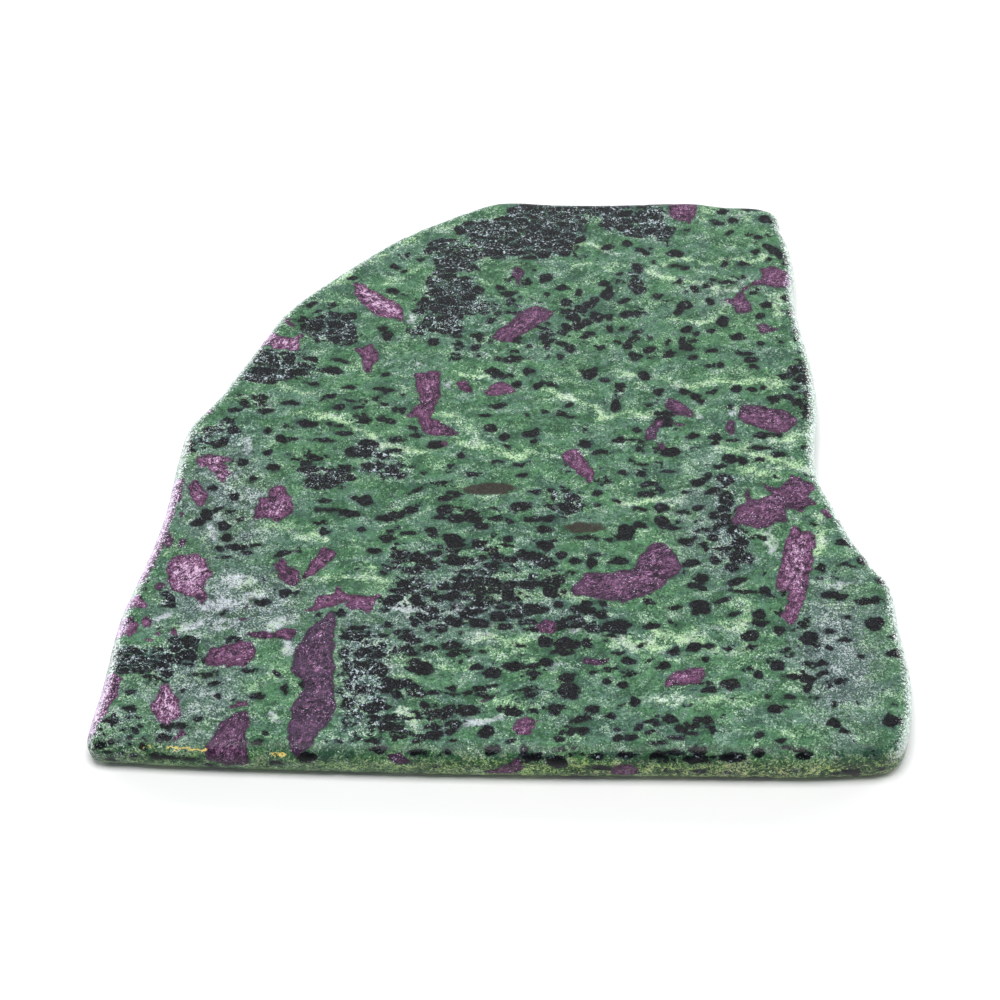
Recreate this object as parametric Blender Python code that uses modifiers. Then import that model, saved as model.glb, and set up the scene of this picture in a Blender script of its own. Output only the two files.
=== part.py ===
"""Ruby in zoisite: one sawn slice of rock with rounded, tumble-polished edges.

The slice lies on its flat underside. Its plan is close to a quarter circle: a long straight front,
a bowed left side, a short back and a right side with a shallow waist. It is a little thicker at the
right than at the left. Metres, +Z up, origin at the middle of the box's underside.
"""
import bpy
import bmesh

# Driving dimensions
MM = 0.001
MIDDLE_THICKNESS = 7.9 * MM          # at x = 0
THICKNESS_SLOPE = 0.0142             # rise of the top face for each metre to the right
EDGE_RADIUS = 2.9 * MM               # rounding of the top and bottom edges
EDGE_SEGMENTS = 5
OUTLINE_STEPS = 3                    # straight steps between two points of the outline
WELD_DISTANCE = 0.00001
FLAT_ANGLE = 0.02                    # radians, below which two faces count as one flat face
RIM_ANGLE = 0.8                      # radians, above which an edge is a rim to be rounded
SMOOTH_ANGLE = 0.6                   # radians, up to which the shading runs on smoothly

# The widest outline of the slab, in millimetres, anticlockwise from the front left corner
FRONT_SIDE = [
    (-74.0, -69.7), (-70.8, -69.9), (-60.4, -70.6), (-44.4, -71.3), (-30.4, -71.8),
    (-0.4, -72.6), (29.6, -72.9), (66.5, -72.7),
]
RIGHT_SIDE = [
    (71.3, -71.7), (73.1, -70.0), (74.5, -66.2), (75.4, -61.0), (75.7, -54.2), (75.2, -48.1),
    (74.5, -41.8), (74.1, -34.4), (73.0, -31.0), (71.4, -29.2), (70.1, -26.0), (68.4, -23.4),
    (66.2, -17.7), (64.3, -12.2), (62.4, -6.8), (62.0, 1.5), (63.3, 11.5), (62.9, 25.2),
    (61.3, 36.0), (60.7, 43.7), (61.3, 51.8), (60.2, 60.4), (59.2, 63.3), (59.3, 66.1),
]
BACK_SIDE = [
    (57.8, 68.6), (54.2, 70.0), (47.7, 70.4), (41.9, 71.6), (35.6, 71.8), (25.6, 71.5),
    (11.6, 71.7), (-0.4, 72.4),
]
LEFT_SIDE = [
    (-4.8, 71.0), (-12.8, 67.0), (-20.9, 62.4), (-28.8, 56.1), (-36.8, 48.9), (-44.8, 40.6),
    (-50.2, 30.6), (-55.2, 21.0), (-57.2, 17.1), (-60.0, 13.0), (-62.7, 8.8), (-64.0, 2.2),
    (-65.0, -6.7), (-66.0, -14.8), (-68.9, -27.0), (-72.3, -39.0), (-74.2, -54.7),
    (-75.5, -62.5), (-76.0, -66.6), (-75.5, -68.8),
]

COLOUR = (0.115, 0.215, 0.125, 1.0)  # the mean of green zoisite, black hornblende and ruby
ROUGHNESS = 0.4


def clear_scene():
    for old in list(bpy.data.objects):
        bpy.data.objects.remove(old, do_unlink=True)


def stone_material():
    material = bpy.data.materials.new("ruby_zoisite")
    material.use_nodes = True
    shader = material.node_tree.nodes["Principled BSDF"]
    shader.inputs["Base Color"].default_value = COLOUR
    shader.inputs["Roughness"].default_value = ROUGHNESS
    shader.inputs["Metallic"].default_value = 0.0
    return material


def outline_curve(points):
    """A closed smooth curve through the points, filled and given the slab's middle thickness."""
    curve = bpy.data.curves.new("slab_outline", "CURVE")
    curve.dimensions = "2D"
    curve.fill_mode = "BOTH"
    curve.extrude = MIDDLE_THICKNESS / 2
    curve.resolution_u = OUTLINE_STEPS
    curve.render_resolution_u = OUTLINE_STEPS
    spline = curve.splines.new("BEZIER")
    spline.bezier_points.add(len(points) - 1)
    spline.use_cyclic_u = True
    for knot, (x, y) in zip(spline.bezier_points, points):
        knot.co = (x * MM, y * MM, 0.0)
        knot.handle_left_type = "AUTO"
        knot.handle_right_type = "AUTO"
    return bpy.data.objects.new("slab_outline", curve)


def slab_mesh(collection):
    """The sharp-edged slab as a mesh: flat underside at z = 0, sloping top, one face on each."""
    outline = outline_curve(FRONT_SIDE + RIGHT_SIDE + BACK_SIDE + LEFT_SIDE)
    collection.objects.link(outline)
    bpy.context.view_layer.update()
    evaluated = outline.evaluated_get(bpy.context.evaluated_depsgraph_get())
    mesh = bpy.data.meshes.new_from_object(evaluated)
    mesh.name = "ruby_zoisite_slab"
    bpy.data.objects.remove(outline, do_unlink=True)

    slab = bmesh.new()
    slab.from_mesh(mesh)
    bmesh.ops.remove_doubles(slab, verts=slab.verts, dist=WELD_DISTANCE)
    along = [vertex.co.x for vertex in slab.verts]
    across = [vertex.co.y for vertex in slab.verts]
    middle_x = (min(along) + max(along)) / 2
    middle_y = (min(across) + max(across)) / 2
    for vertex in slab.verts:
        on_top = vertex.co.z > 0.0
        vertex.co.x -= middle_x
        vertex.co.y -= middle_y
        vertex.co.z = MIDDLE_THICKNESS + THICKNESS_SLOPE * vertex.co.x if on_top else 0.0
    caps = [face for face in slab.faces if abs(face.normal.z) > RIM_ANGLE]
    inner_edges = [
        edge for edge in slab.edges
        if all(face in caps for face in edge.link_faces)
    ]
    bmesh.ops.dissolve_edges(slab, edges=inner_edges, use_verts=False)
    bmesh.ops.recalc_face_normals(slab, faces=slab.faces)
    slab.to_mesh(mesh)
    slab.free()
    mesh.materials.clear()
    mesh.materials.append(stone_material())
    return mesh


def build():
    clear_scene()
    collection = bpy.data.collections.new("ruby_in_zoisite")
    bpy.context.scene.collection.children.link(collection)
    slab = bpy.data.objects.new("ruby_zoisite_slab", slab_mesh(collection))
    collection.objects.link(slab)

    rounding = slab.modifiers.new("rounded_edges", "BEVEL")
    rounding.width = EDGE_RADIUS
    rounding.segments = EDGE_SEGMENTS
    rounding.limit_method = "ANGLE"
    rounding.angle_limit = RIM_ANGLE
    rounding.use_clamp_overlap = False
    slab.data.shade_smooth()
    slab.data.set_sharp_from_angle(angle=SMOOTH_ANGLE)


build()
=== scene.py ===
import math

import bpy
import numpy as np
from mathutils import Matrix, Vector, noise
from mathutils.geometry import delaunay_2d_cdt


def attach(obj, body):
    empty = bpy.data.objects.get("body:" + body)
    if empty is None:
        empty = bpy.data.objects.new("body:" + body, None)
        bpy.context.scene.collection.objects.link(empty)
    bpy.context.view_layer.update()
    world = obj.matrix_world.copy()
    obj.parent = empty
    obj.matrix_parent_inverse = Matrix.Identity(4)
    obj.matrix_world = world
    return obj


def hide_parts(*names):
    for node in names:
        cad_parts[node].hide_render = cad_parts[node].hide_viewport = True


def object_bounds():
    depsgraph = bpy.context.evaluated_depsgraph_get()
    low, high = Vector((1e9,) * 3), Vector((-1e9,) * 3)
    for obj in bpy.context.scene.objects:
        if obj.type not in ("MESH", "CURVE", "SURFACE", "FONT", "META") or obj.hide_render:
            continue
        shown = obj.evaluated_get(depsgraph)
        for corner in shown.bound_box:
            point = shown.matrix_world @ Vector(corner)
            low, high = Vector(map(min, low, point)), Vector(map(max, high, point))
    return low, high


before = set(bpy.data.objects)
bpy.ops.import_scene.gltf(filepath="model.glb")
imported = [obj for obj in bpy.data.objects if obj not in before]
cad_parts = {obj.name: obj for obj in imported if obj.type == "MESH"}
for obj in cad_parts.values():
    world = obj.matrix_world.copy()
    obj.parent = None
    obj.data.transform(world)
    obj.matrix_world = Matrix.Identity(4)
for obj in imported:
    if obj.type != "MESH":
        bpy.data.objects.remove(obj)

cad_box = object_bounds()


# ---------------------------------------------------------------------------------------------
# The sawn slice
# One slice of rock, sawn flat on both faces and tumbled until every edge went round. It is thicker
# at the right, so its upper face climbs a little. All lengths below are millimetres.
# ---------------------------------------------------------------------------------------------
MM = 0.001
EDGE_RADIUS = 2.9
MIDDLE_THICKNESS = 7.9
THICKNESS_SLOPE = 0.0142
PLAN_CENTRE = np.array([0.0, -10.0])     # the outline is seen whole from here
OUTLINE_STEP = 0.55
OUTLINE_SOFTENING = 0.8                  # blur along the outline, for a tumbled look
UPPER_STEP = 0.545                       # spacing of the points on the upper face
LOWER_STEP = 1.15
UPPER_ARC_STEPS = 9                      # rows of points over the upper rounding
LOWER_ARC_STEPS = 6
WALL_ROWS = 5
RIM_CLEARANCE = 0.02                     # play when points are told apart at the rim

slab_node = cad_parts["ruby_zoisite_slab"]


def coordinates(mesh):
    """The mesh's points in millimetres."""
    flat = np.empty(len(mesh.vertices) * 3)
    mesh.vertices.foreach_get("co", flat)
    return flat.reshape(-1, 3) / MM


def slab_outline(points):
    """The widest line round the solid, evenly spaced, anticlockwise."""
    ring = points[np.abs(points[:, 2] - EDGE_RADIUS) < RIM_CLEARANCE][:, :2]
    ring = np.unique(ring.round(3), axis=0)
    turn = np.arctan2(*(ring - PLAN_CENTRE).T[::-1])
    ring = ring[np.argsort(turn)]
    ring = np.vstack([ring, ring[:1]])
    walked = np.concatenate([[0.0], np.cumsum(np.linalg.norm(np.diff(ring, axis=0), axis=1))])
    stations = np.linspace(0.0, walked[-1], int(walked[-1] / OUTLINE_STEP), endpoint=False)
    line = np.stack([np.interp(stations, walked, ring[:, axis]) for axis in (0, 1)], axis=1)
    reach = int(3 * OUTLINE_SOFTENING / OUTLINE_STEP) + 1
    offsets = np.arange(-reach, reach + 1)
    weights = np.exp(-0.5 * (offsets * OUTLINE_STEP / OUTLINE_SOFTENING) ** 2)
    weights /= weights.sum()
    return sum(weight * np.roll(line, offset, axis=0) for weight, offset in zip(weights, offsets))


outline = slab_outline(coordinates(slab_node.data))
ahead = np.roll(outline, -1, axis=0) - np.roll(outline, 1, axis=0)
outward = np.stack([ahead[:, 1], -ahead[:, 0]], axis=1)
outward /= np.linalg.norm(outward, axis=1)[:, None]


def edge_distance(plan):
    """How far each point lies inside the outline, and the station of the outline nearest to it."""
    inside, station = np.empty(len(plan)), np.empty(len(plan), dtype=int)
    block = 4000                         # points handled at once, to spare memory
    for start in range(0, len(plan), block):
        part = plan[start:start + block]
        gaps = ((part[:, None, :] - outline[None, :, :]) ** 2).sum(axis=2)
        nearest = gaps.argmin(axis=1)
        station[start:start + block] = nearest
        inside[start:start + block] = -((part - outline[nearest]) * outward[nearest]).sum(axis=1)
    return inside, station


def face_points(step, arc_steps, every):
    """Plan points for one face: the outline first, rows over its rounding, then an even net."""
    rows = [outline]
    for k in range(1, arc_steps):
        inset = EDGE_RADIUS * (1.0 - math.cos(math.pi / 2 * k / arc_steps))
        row = (outline - outward * inset)[::every]
        inside, _ = edge_distance(row)
        rows.append(row[inside > inset - RIM_CLEARANCE])
    low, high = outline.min(axis=0), outline.max(axis=0)
    net_x, net_y = np.meshgrid(
        np.arange(low[0], high[0], step), np.arange(low[1], high[1], step * math.sqrt(0.75))
    )
    net_x[1::2] += step / 2
    net = np.stack([net_x.ravel(), net_y.ravel()], axis=1)
    turn = np.arctan2(*(net - PLAN_CENTRE).T[::-1])
    ring_turn = np.arctan2(*(outline - PLAN_CENTRE).T[::-1])
    order = np.argsort(ring_turn)
    reach = np.linalg.norm(outline - PLAN_CENTRE, axis=1)
    limit = np.interp(turn, ring_turn[order], reach[order], period=2 * math.pi)
    net = net[np.linalg.norm(net - PLAN_CENTRE, axis=1) < limit]
    inside, _ = edge_distance(net)
    rows.append(net[inside > EDGE_RADIUS - step / 3])
    return np.vstack(rows)


def face_triangles(plan):
    """Triangles between the points of one face, none outside the outline."""
    count = len(outline)
    border = [(k, (k + 1) % count) for k in range(count)]
    _, _, faces, origins, _, _ = delaunay_2d_cdt(
        [Vector(point) for point in plan], border, [], 1, 1e-7
    )
    came_from = np.array([source[0] for source in origins])
    return came_from[np.array(faces)]


def rounding(inside):
    """Height lost below the flat face, and the angle turned from it, near the edge."""
    short = np.clip(1.0 - inside / EDGE_RADIUS, 0.0, 1.0)
    return EDGE_RADIUS * (1.0 - np.sqrt(1.0 - short ** 2)), np.arcsin(short)


upper_plan = face_points(UPPER_STEP, UPPER_ARC_STEPS, 1)
lower_plan = face_points(LOWER_STEP, LOWER_ARC_STEPS, 2)
upper_faces = face_triangles(upper_plan)
lower_faces = face_triangles(lower_plan)[:, ::-1]

upper_inside, upper_station = edge_distance(upper_plan)
lower_inside, lower_station = edge_distance(lower_plan)
upper_drop, upper_turn = rounding(upper_inside)
lower_drop, lower_turn = rounding(lower_inside)
thickness = MIDDLE_THICKNESS + THICKNESS_SLOPE * outline[:, 0]
wall_height = thickness - 2 * EDGE_RADIUS

ring_size = len(outline)
wall_parts = [(k + 1) / (WALL_ROWS + 1) for k in range(WALL_ROWS)]
wall_plan = np.vstack([outline] * WALL_ROWS)
wall_z = np.concatenate([EDGE_RADIUS + wall_height * (1.0 - part) for part in wall_parts])

plan = np.vstack([upper_plan, wall_plan, lower_plan])
height = np.concatenate([
    MIDDLE_THICKNESS + THICKNESS_SLOPE * upper_plan[:, 0] - upper_drop, wall_z, lower_drop
])
station = np.concatenate([upper_station, np.tile(np.arange(ring_size), WALL_ROWS), lower_station])
turned = np.concatenate([upper_turn, np.full(len(wall_plan), math.pi / 2), lower_turn])
first_wall = len(upper_plan)
first_lower = first_wall + len(wall_plan)
is_lower = np.arange(len(plan)) >= first_lower

# how far a point lies past the flat upper face, along the surface, and past the flat lower face
arc = EDGE_RADIUS * math.pi / 2
wall_down = np.concatenate([
    np.zeros(len(upper_plan)),
    np.concatenate([wall_height * part for part in wall_parts]),
    wall_height[lower_station],
])
full_wall = wall_height[station]
past_upper = np.where(is_lower, 2 * arc + full_wall - EDGE_RADIUS * turned,
                      EDGE_RADIUS * turned + wall_down)
past_lower = np.where(is_lower, EDGE_RADIUS * turned,
                      2 * arc + full_wall - EDGE_RADIUS * turned - wall_down)
flat = turned <= 0
foot = outline[station] - outward[station] * EDGE_RADIUS
upper_chart = np.where(flat[:, None], plan, foot + outward[station] * past_upper[:, None])
lower_chart = np.where(flat[:, None], plan, foot + outward[station] * past_lower[:, None])

rings = [np.arange(ring_size)]
rings += [first_wall + k * ring_size + np.arange(ring_size) for k in range(WALL_ROWS)]
rings += [first_lower + np.arange(ring_size)]
wall_faces = []
for above, under in zip(rings, rings[1:]):
    above_next, under_next = np.roll(above, -1), np.roll(under, -1)
    wall_faces.append(np.stack([above, under, above_next], axis=1))
    wall_faces.append(np.stack([under, under_next, above_next], axis=1))
triangles = np.vstack([upper_faces, *wall_faces, lower_faces + first_lower])

# the direction that the surface faces
normal = np.zeros((len(plan), 3))
normal[:, :2] = outward[station] * np.sin(turned)[:, None]
normal[:, 2] = np.where(is_lower, -1.0, 1.0) * np.cos(turned)

# the rim is whitened at the two sides, a little further in at the left: partly bruising that
# tumbling left, partly painted glare on the rounded rim
BRUISE_GLARE_LEFT, BRUISE_GLARE_RIGHT = 3.2, 2.8
BRUISE_GLARE_FROM, BRUISE_GLARE_RAMP = 0.15, 0.3     # how far the rim must face sideways
BRUISE_GLARE_SINK = 3.0                        # fades over this height, down to its least
BRUISE_GLARE_LEAST, BRUISE_GLARE_LEAST_FRONT = 0.25, 0.5
sideways, backward = outward[station].T
from_edge = np.concatenate([upper_inside, np.zeros(len(wall_plan)), lower_inside])
bruise_glare_reach = np.where(sideways > 0, BRUISE_GLARE_RIGHT, BRUISE_GLARE_LEFT)
rim_bruise_glare = np.clip((np.abs(sideways) - BRUISE_GLARE_FROM) / BRUISE_GLARE_RAMP, 0.0, 1.0)
rim_bruise_glare *= np.clip(1.0 - from_edge / bruise_glare_reach, 0.0, 1.0)
rim_bruise_glare *= np.clip(1.6 - (MIDDLE_THICKNESS - height) / BRUISE_GLARE_SINK, BRUISE_GLARE_LEAST, 1.0)
rim_bruise_glare *= np.clip(1.4 + backward, BRUISE_GLARE_LEAST_FRONT, 1.0)

# the edge that faces the front is painted more olive and darker, most at the right and low on the
# wall: partly its own mottled colour, partly painted shade on the side turned from the lamps
OLIVE_HEIGHT, OLIVE_RAMP = 5.0, 3.2      # full below the one, gone the other higher up
OLIVE_TURN = 0.5                         # radians of rounding before it is full
OLIVE_SPREAD, OLIVE_LEAST = 70.0, 0.4
olive = np.clip(-backward, 0.0, 1.0)
olive *= np.clip(1.0 - (height - OLIVE_HEIGHT) / OLIVE_RAMP, 0.0, 1.0)
olive *= np.clip(turned / OLIVE_TURN, 0.0, 1.0)
olive *= np.clip(0.8 + plan[:, 0] / OLIVE_SPREAD, OLIVE_LEAST, 1.0)

# tumbling left the upper face nearly true, nibbled the rounded rim and kept the sawn foot flat
FACE_RIPPLE = 0.03
RIPPLE_LENGTH = 9.0
RIM_NIBBLE = 0.28
RIM_GRAIN = 1.9
NIBBLE_FROM = 0.08                       # only the stronger waves bite
surface = np.column_stack([plan, height])


def wave(point, length, turns=2):
    return noise.fractal(Vector(point) / length, 1.0, 2.0, turns)


worn = np.empty(len(plan))
for k, point in enumerate(surface):
    if turned[k] > 0:
        chip = max(0.0, wave(point, RIM_GRAIN, 3) - NIBBLE_FROM)
        worn[k] = RIM_NIBBLE * chip * min(1.0, turned[k])
    else:
        worn[k] = FACE_RIPPLE * (0.5 + 0.5 * wave(point, RIPPLE_LENGTH))
worn[is_lower & flat] = 0.0
surface -= normal * worn[:, None]
low, high = np.array(cad_box[0]) / MM, np.array(cad_box[1]) / MM
surface = np.clip(surface, low, high)


# ---------------------------------------------------------------------------------------------
# The ruby crystals
# Plum to pink corundum, grown as lath-like prisms and round cross-sections in the zoisite. Each is
# an outline in plan, with its brightness and the run of its fibres in degrees.
# ---------------------------------------------------------------------------------------------
RUBIES = [
    # brightness, fibre angle, outline
    (0.85, -40, [(-30.6, 48.2), (-29.3, 47.9), (-27.8, 46.6), (-25.4, 44.8), (-23.0, 43.2),
                 (-20.8, 41.6), (-20.1, 40.0), (-20.2, 37.5), (-19.4, 36.3), (-21.0, 36.6),
                 (-22.6, 37.6), (-24.4, 37.7), (-26.2, 38.6), (-27.5, 40.0), (-29.0, 42.0),
                 (-30.3, 44.5), (-30.9, 46.5)]),
    (0.35, -70, [(-29.8, 29.4), (-28.2, 29.6), (-26.5, 30.6), (-26.0, 29.4), (-25.1, 27.5),
                 (-25.1, 25.2), (-26.0, 24.0), (-26.3, 22.2), (-27.6, 22.2), (-28.2, 24.0),
                 (-28.7, 26.5), (-29.6, 28.2)]),
    (0.10, -80, [(2.3, 52.6), (3.6, 51.9), (5.0, 50.8), (4.9, 49.8), (4.3, 48.2), (3.8, 45.8),
                 (3.2, 46.6), (2.8, 48.8), (2.3, 50.6)]),
    (0.22, 40, [(-1.9, 32.4), (-1.0, 33.9), (0.8, 35.5), (3.0, 37.4), (5.0, 39.8), (6.6, 40.6),
                (8.6, 40.2), (10.4, 39.2), (10.9, 38.2), (9.6, 36.6), (8.0, 35.4), (6.0, 33.6),
                (4.0, 31.8), (2.2, 30.6), (0.6, 30.4), (-1.2, 31.0)]),
    (0.30, 80, [(35.4, 75.0), (35.6, 69.0), (35.6, 67.6), (36.0, 66.0), (37.3, 65.4),
                (39.2, 65.0), (40.0, 63.6), (40.6, 65.2), (41.3, 66.6), (41.9, 69.0),
                (41.6, 75.0)]),
    (0.30, 20, [(53.8, 51.4), (55.2, 51.0), (56.6, 51.6), (58.4, 51.0), (59.4, 50.2),
                (60.2, 48.8), (60.2, 46.6), (59.4, 45.2), (57.6, 45.0), (55.6, 45.6),
                (54.0, 45.8), (52.0, 45.6), (50.4, 44.2), (49.4, 44.6), (50.2, 45.6),
                (52.0, 46.8), (53.6, 47.6), (54.2, 49.0)]),
    (0.20, 70, [(50.0, 45.0), (50.4, 43.6), (51.0, 42.0), (51.6, 40.4), (51.8, 38.8),
                (50.4, 38.0), (48.6, 38.0), (47.8, 39.4), (47.2, 40.6), (46.0, 41.4),
                (45.0, 41.6), (46.2, 42.0), (47.8, 42.2), (48.6, 43.6)]),
    (0.15, 0, [(52.4, 34.6), (53.2, 35.2), (54.4, 35.0), (55.8, 34.0), (57.0, 33.4),
               (56.0, 32.6), (54.2, 32.0), (53.0, 32.0), (52.4, 33.0)]),
    (0.35, -85, [(-17.6, 21.8), (-16.0, 22.2), (-14.4, 22.6), (-12.9, 22.8), (-12.1, 22.6),
                 (-12.3, 20.5), (-12.2, 18.0), (-12.0, 15.6), (-12.8, 13.6), (-13.6, 11.8),
                 (-13.8, 10.2), (-13.0, 9.2), (-11.4, 8.2), (-9.6, 7.0), (-8.5, 6.0),
                 (-9.0, 5.2), (-10.6, 4.9), (-12.6, 5.0), (-14.6, 5.6), (-16.0, 6.6),
                 (-16.6, 8.4), (-16.2, 9.8), (-18.2, 10.2), (-19.4, 10.5), (-18.0, 12.0),
                 (-16.8, 14.0), (-17.0, 16.6), (-17.4, 19.0)]),
    (0.35, 0, [(-12.1, 3.4), (-10.9, 3.8), (-10.3, 2.8), (-10.9, 2.1), (-11.9, 2.5)]),
    (0.35, -45, [(-9.3, 19.4), (-8.0, 20.0), (-6.8, 19.3), (-5.6, 17.6), (-5.4, 16.6),
                 (-6.4, 16.1), (-7.6, 17.2), (-8.8, 18.0)]),
    (0.35, 10, [(-3.5, 16.6), (-2.2, 18.2), (-1.2, 19.4), (0.2, 19.8), (1.6, 18.6),
                (2.8, 17.6), (3.8, 16.8), (2.0, 16.0), (0.6, 15.7), (-1.0, 15.8),
                (-2.8, 15.6)]),
    (0.45, -60, [(12.0, 0.4), (13.2, 1.1), (14.6, 1.2), (15.8, 0.4), (16.8, -1.4),
                 (18.0, -3.2), (18.5, -4.8), (18.0, -7.0), (17.2, -8.2), (16.0, -6.6),
                 (14.6, -5.0), (13.2, -3.6), (12.4, -1.8)]),
    (0.20, -45, [(32.8, 14.4), (34.4, 15.0), (35.4, 14.2), (36.6, 13.0), (38.0, 11.6),
                 (38.9, 10.2), (38.4, 9.4), (37.0, 9.2), (35.4, 10.0), (34.0, 10.8),
                 (32.9, 12.2)]),
    (0.10, 30, [(28.6, 6.0), (29.6, 7.6), (31.0, 9.0), (32.4, 8.6), (31.6, 7.0), (31.0, 5.0),
                (30.6, 3.4), (29.0, 2.9), (28.2, 4.0)]),
    (0.10, 0, [(34.4, 8.4), (36.4, 7.8), (36.6, 7.2), (34.6, 7.0), (33.6, 7.6)]),
    (0.25, 0, [(30.8, 2.4), (32.0, 2.8), (32.7, 1.8), (31.8, 0.9), (30.8, 1.4)]),
    (0.15, 80, [(44.4, 6.6), (45.2, 8.6), (46.6, 8.4), (46.6, 6.4), (46.0, 4.7),
                (45.0, 5.0)]),
    (0.22, -15, [(47.0, 10.0), (48.0, 12.0), (49.6, 12.9), (52.0, 12.5), (54.4, 11.8),
                 (56.4, 11.4), (57.8, 10.2), (58.9, 9.0), (58.9, 7.6), (57.6, 6.0),
                 (56.4, 4.7), (54.0, 5.0), (52.0, 6.0), (50.0, 6.8), (48.2, 7.8),
                 (47.2, 9.0)]),
    (0.20, 20, [(44.4, -17.0), (45.2, -15.0), (46.0, -13.6), (47.2, -12.8), (47.0, -10.6),
                (48.0, -9.2), (48.8, -10.6), (48.6, -12.2), (50.0, -12.0), (51.6, -11.4),
                (52.4, -10.6), (51.0, -9.0), (50.6, -7.7), (52.4, -8.8), (53.8, -9.0),
                (55.0, -8.6), (56.0, -7.0), (56.8, -5.8), (58.4, -6.4), (59.4, -7.4),
                (61.0, -8.0), (61.8, -9.6), (60.8, -10.6), (60.0, -11.6), (61.2, -12.8),
                (61.2, -13.8), (60.0, -13.9), (59.0, -14.2), (58.4, -15.8), (57.2, -15.0),
                (55.6, -14.6), (55.0, -15.8), (55.6, -17.4), (54.8, -18.2), (52.8, -18.0),
                (51.2, -19.4), (49.6, -19.8), (48.0, -18.8), (46.4, -18.6),
                (44.8, -18.6)]),
    (0.55, 0, [(61.6, -15.0), (62.6, -14.6), (63.6, -15.4), (64.2, -16.6), (63.4, -17.2),
               (62.2, -16.8)]),
    (0.62, 75, [(55.6, -19.2), (57.0, -19.0), (58.2, -19.8), (59.6, -19.8), (60.4, -21.4),
                (60.2, -23.4), (59.8, -25.6), (59.6, -27.6), (59.0, -30.2), (58.4, -33.0),
                (57.8, -35.4), (57.0, -37.8), (56.4, -40.0), (55.8, -42.0), (54.4, -43.1),
                (53.2, -42.4), (52.9, -40.6), (53.4, -38.6), (54.0, -36.4), (54.2, -35.0),
                (52.2, -34.6), (51.4, -34.0), (52.2, -32.0), (52.8, -29.6), (53.2, -27.4),
                (53.8, -24.8), (54.4, -22.6), (55.2, -21.0)]),
    (0.15, 25, [(13.0, -34.2), (14.2, -32.2), (16.2, -30.0), (18.4, -29.5), (20.8, -29.8),
                (23.0, -29.3), (24.6, -29.6), (25.6, -28.2), (26.2, -25.8), (27.8, -24.0),
                (29.2, -22.6), (30.6, -22.3), (31.8, -23.6), (33.4, -25.6), (34.5, -28.0),
                (34.0, -30.4), (32.4, -31.6), (31.0, -33.2), (28.6, -34.8), (26.2, -36.0),
                (23.4, -37.0), (20.4, -37.0), (17.8, -36.2), (15.2, -35.6),
                (13.6, -35.2)]),
    (0.45, 20, [(29.8, -57.0), (30.4, -55.2), (31.6, -53.6), (33.4, -53.2), (35.6, -52.7),
                (37.6, -52.8), (37.9, -54.2), (37.2, -55.8), (35.4, -56.6), (33.0, -57.0),
                (30.4, -57.3)]),
    (0.30, 60, [(6.6, -42.6), (7.4, -41.2), (9.0, -40.8), (10.2, -41.8), (10.2, -43.6),
                (9.0, -44.6), (7.6, -44.4)]),
    (0.12, 0, [(14.6, -50.6), (16.0, -50.0), (18.0, -50.4), (20.0, -50.0), (20.4, -51.0),
               (19.4, -51.8), (17.4, -52.0), (15.4, -51.6)]),
    (0.50, 60, [(2.0, -65.2), (3.0, -64.0), (4.6, -63.2), (6.2, -63.8), (6.8, -64.6),
                (5.8, -66.0), (5.4, -67.4), (4.0, -67.8), (2.6, -67.4), (2.0, -66.4)]),
    (0.20, 0, [(-4.6, -60.0), (-3.2, -59.2), (-1.6, -59.8), (-3.0, -60.4)]),
    (0.10, -20, [(-21.0, -71.0), (-18.6, -71.0), (-16.8, -72.4), (-15.6, -73.0),
                 (-18.0, -73.6), (-20.0, -72.6)]),
    (0.25, 35, [(-9.4, -81.0), (-7.4, -77.6), (-4.0, -76.2), (-1.0, -74.6), (1.0, -73.0),
                (3.0, -72.0), (4.2, -72.8), (3.8, -75.0), (1.6, -77.6), (0.6, -81.0)]),
    (0.30, 60, [(20.0, -75.0), (21.4, -73.8), (23.6, -73.8), (25.0, -75.2), (25.2, -78.4),
                (24.0, -81.0), (21.0, -81.0), (19.8, -78.0)]),
    # the left part of the slab, where the fibres shine: listed brighter, so with more painted sheen
    (0.95, -55, [(-60.0, 0.3), (-57.5, 0.8), (-55.2, 0.3), (-53.2, -0.2), (-53.2, -1.3),
                 (-54.5, -1.6), (-53.9, -3.2), (-52.6, -4.3), (-53.8, -4.9), (-53.7, -6.2),
                 (-54.3, -7.0), (-55.5, -6.0), (-56.3, -4.6), (-57.6, -3.6), (-58.2, -2.4),
                 (-59.6, -2.6), (-60.2, -1.4)]),
    (0.60, -70, [(-61.0, -6.0), (-59.5, -5.8), (-58.6, -7.2), (-57.6, -9.0), (-57.2, -11.5),
                 (-58.0, -12.8), (-59.4, -12.5), (-60.0, -11.3), (-61.2, -10.0),
                 (-61.2, -8.0)]),
    (0.55, 70, [(-45.3, -8.2), (-44.0, -7.6), (-42.2, -8.1), (-41.5, -9.7), (-40.8, -11.0),
                (-40.3, -12.5), (-40.6, -14.5), (-42.0, -16.2), (-43.2, -17.1),
                (-44.6, -16.0), (-46.5, -16.0), (-48.2, -15.6), (-47.9, -14.3),
                (-48.3, -13.0), (-47.3, -12.0), (-47.4, -10.3), (-46.0, -10.3)]),
    (0.05, 0, [(-63.0, -14.6), (-62.2, -13.9), (-61.6, -14.8), (-62.2, -15.8)]),
    (0.10, 0, [(-62.2, -21.0), (-61.0, -20.5), (-60.2, -21.6), (-61.0, -22.8),
               (-62.2, -22.4)]),
    (0.20, 0, [(-65.8, -19.0), (-64.6, -18.4), (-63.6, -19.6), (-63.0, -22.4),
               (-64.6, -23.0), (-65.4, -21.0)]),
    (0.80, 50, [(-62.8, -25.3), (-61.5, -24.6), (-60.2, -24.5), (-58.2, -24.3),
                (-56.8, -25.6), (-55.7, -27.0), (-55.2, -28.8), (-55.0, -30.0),
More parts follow.
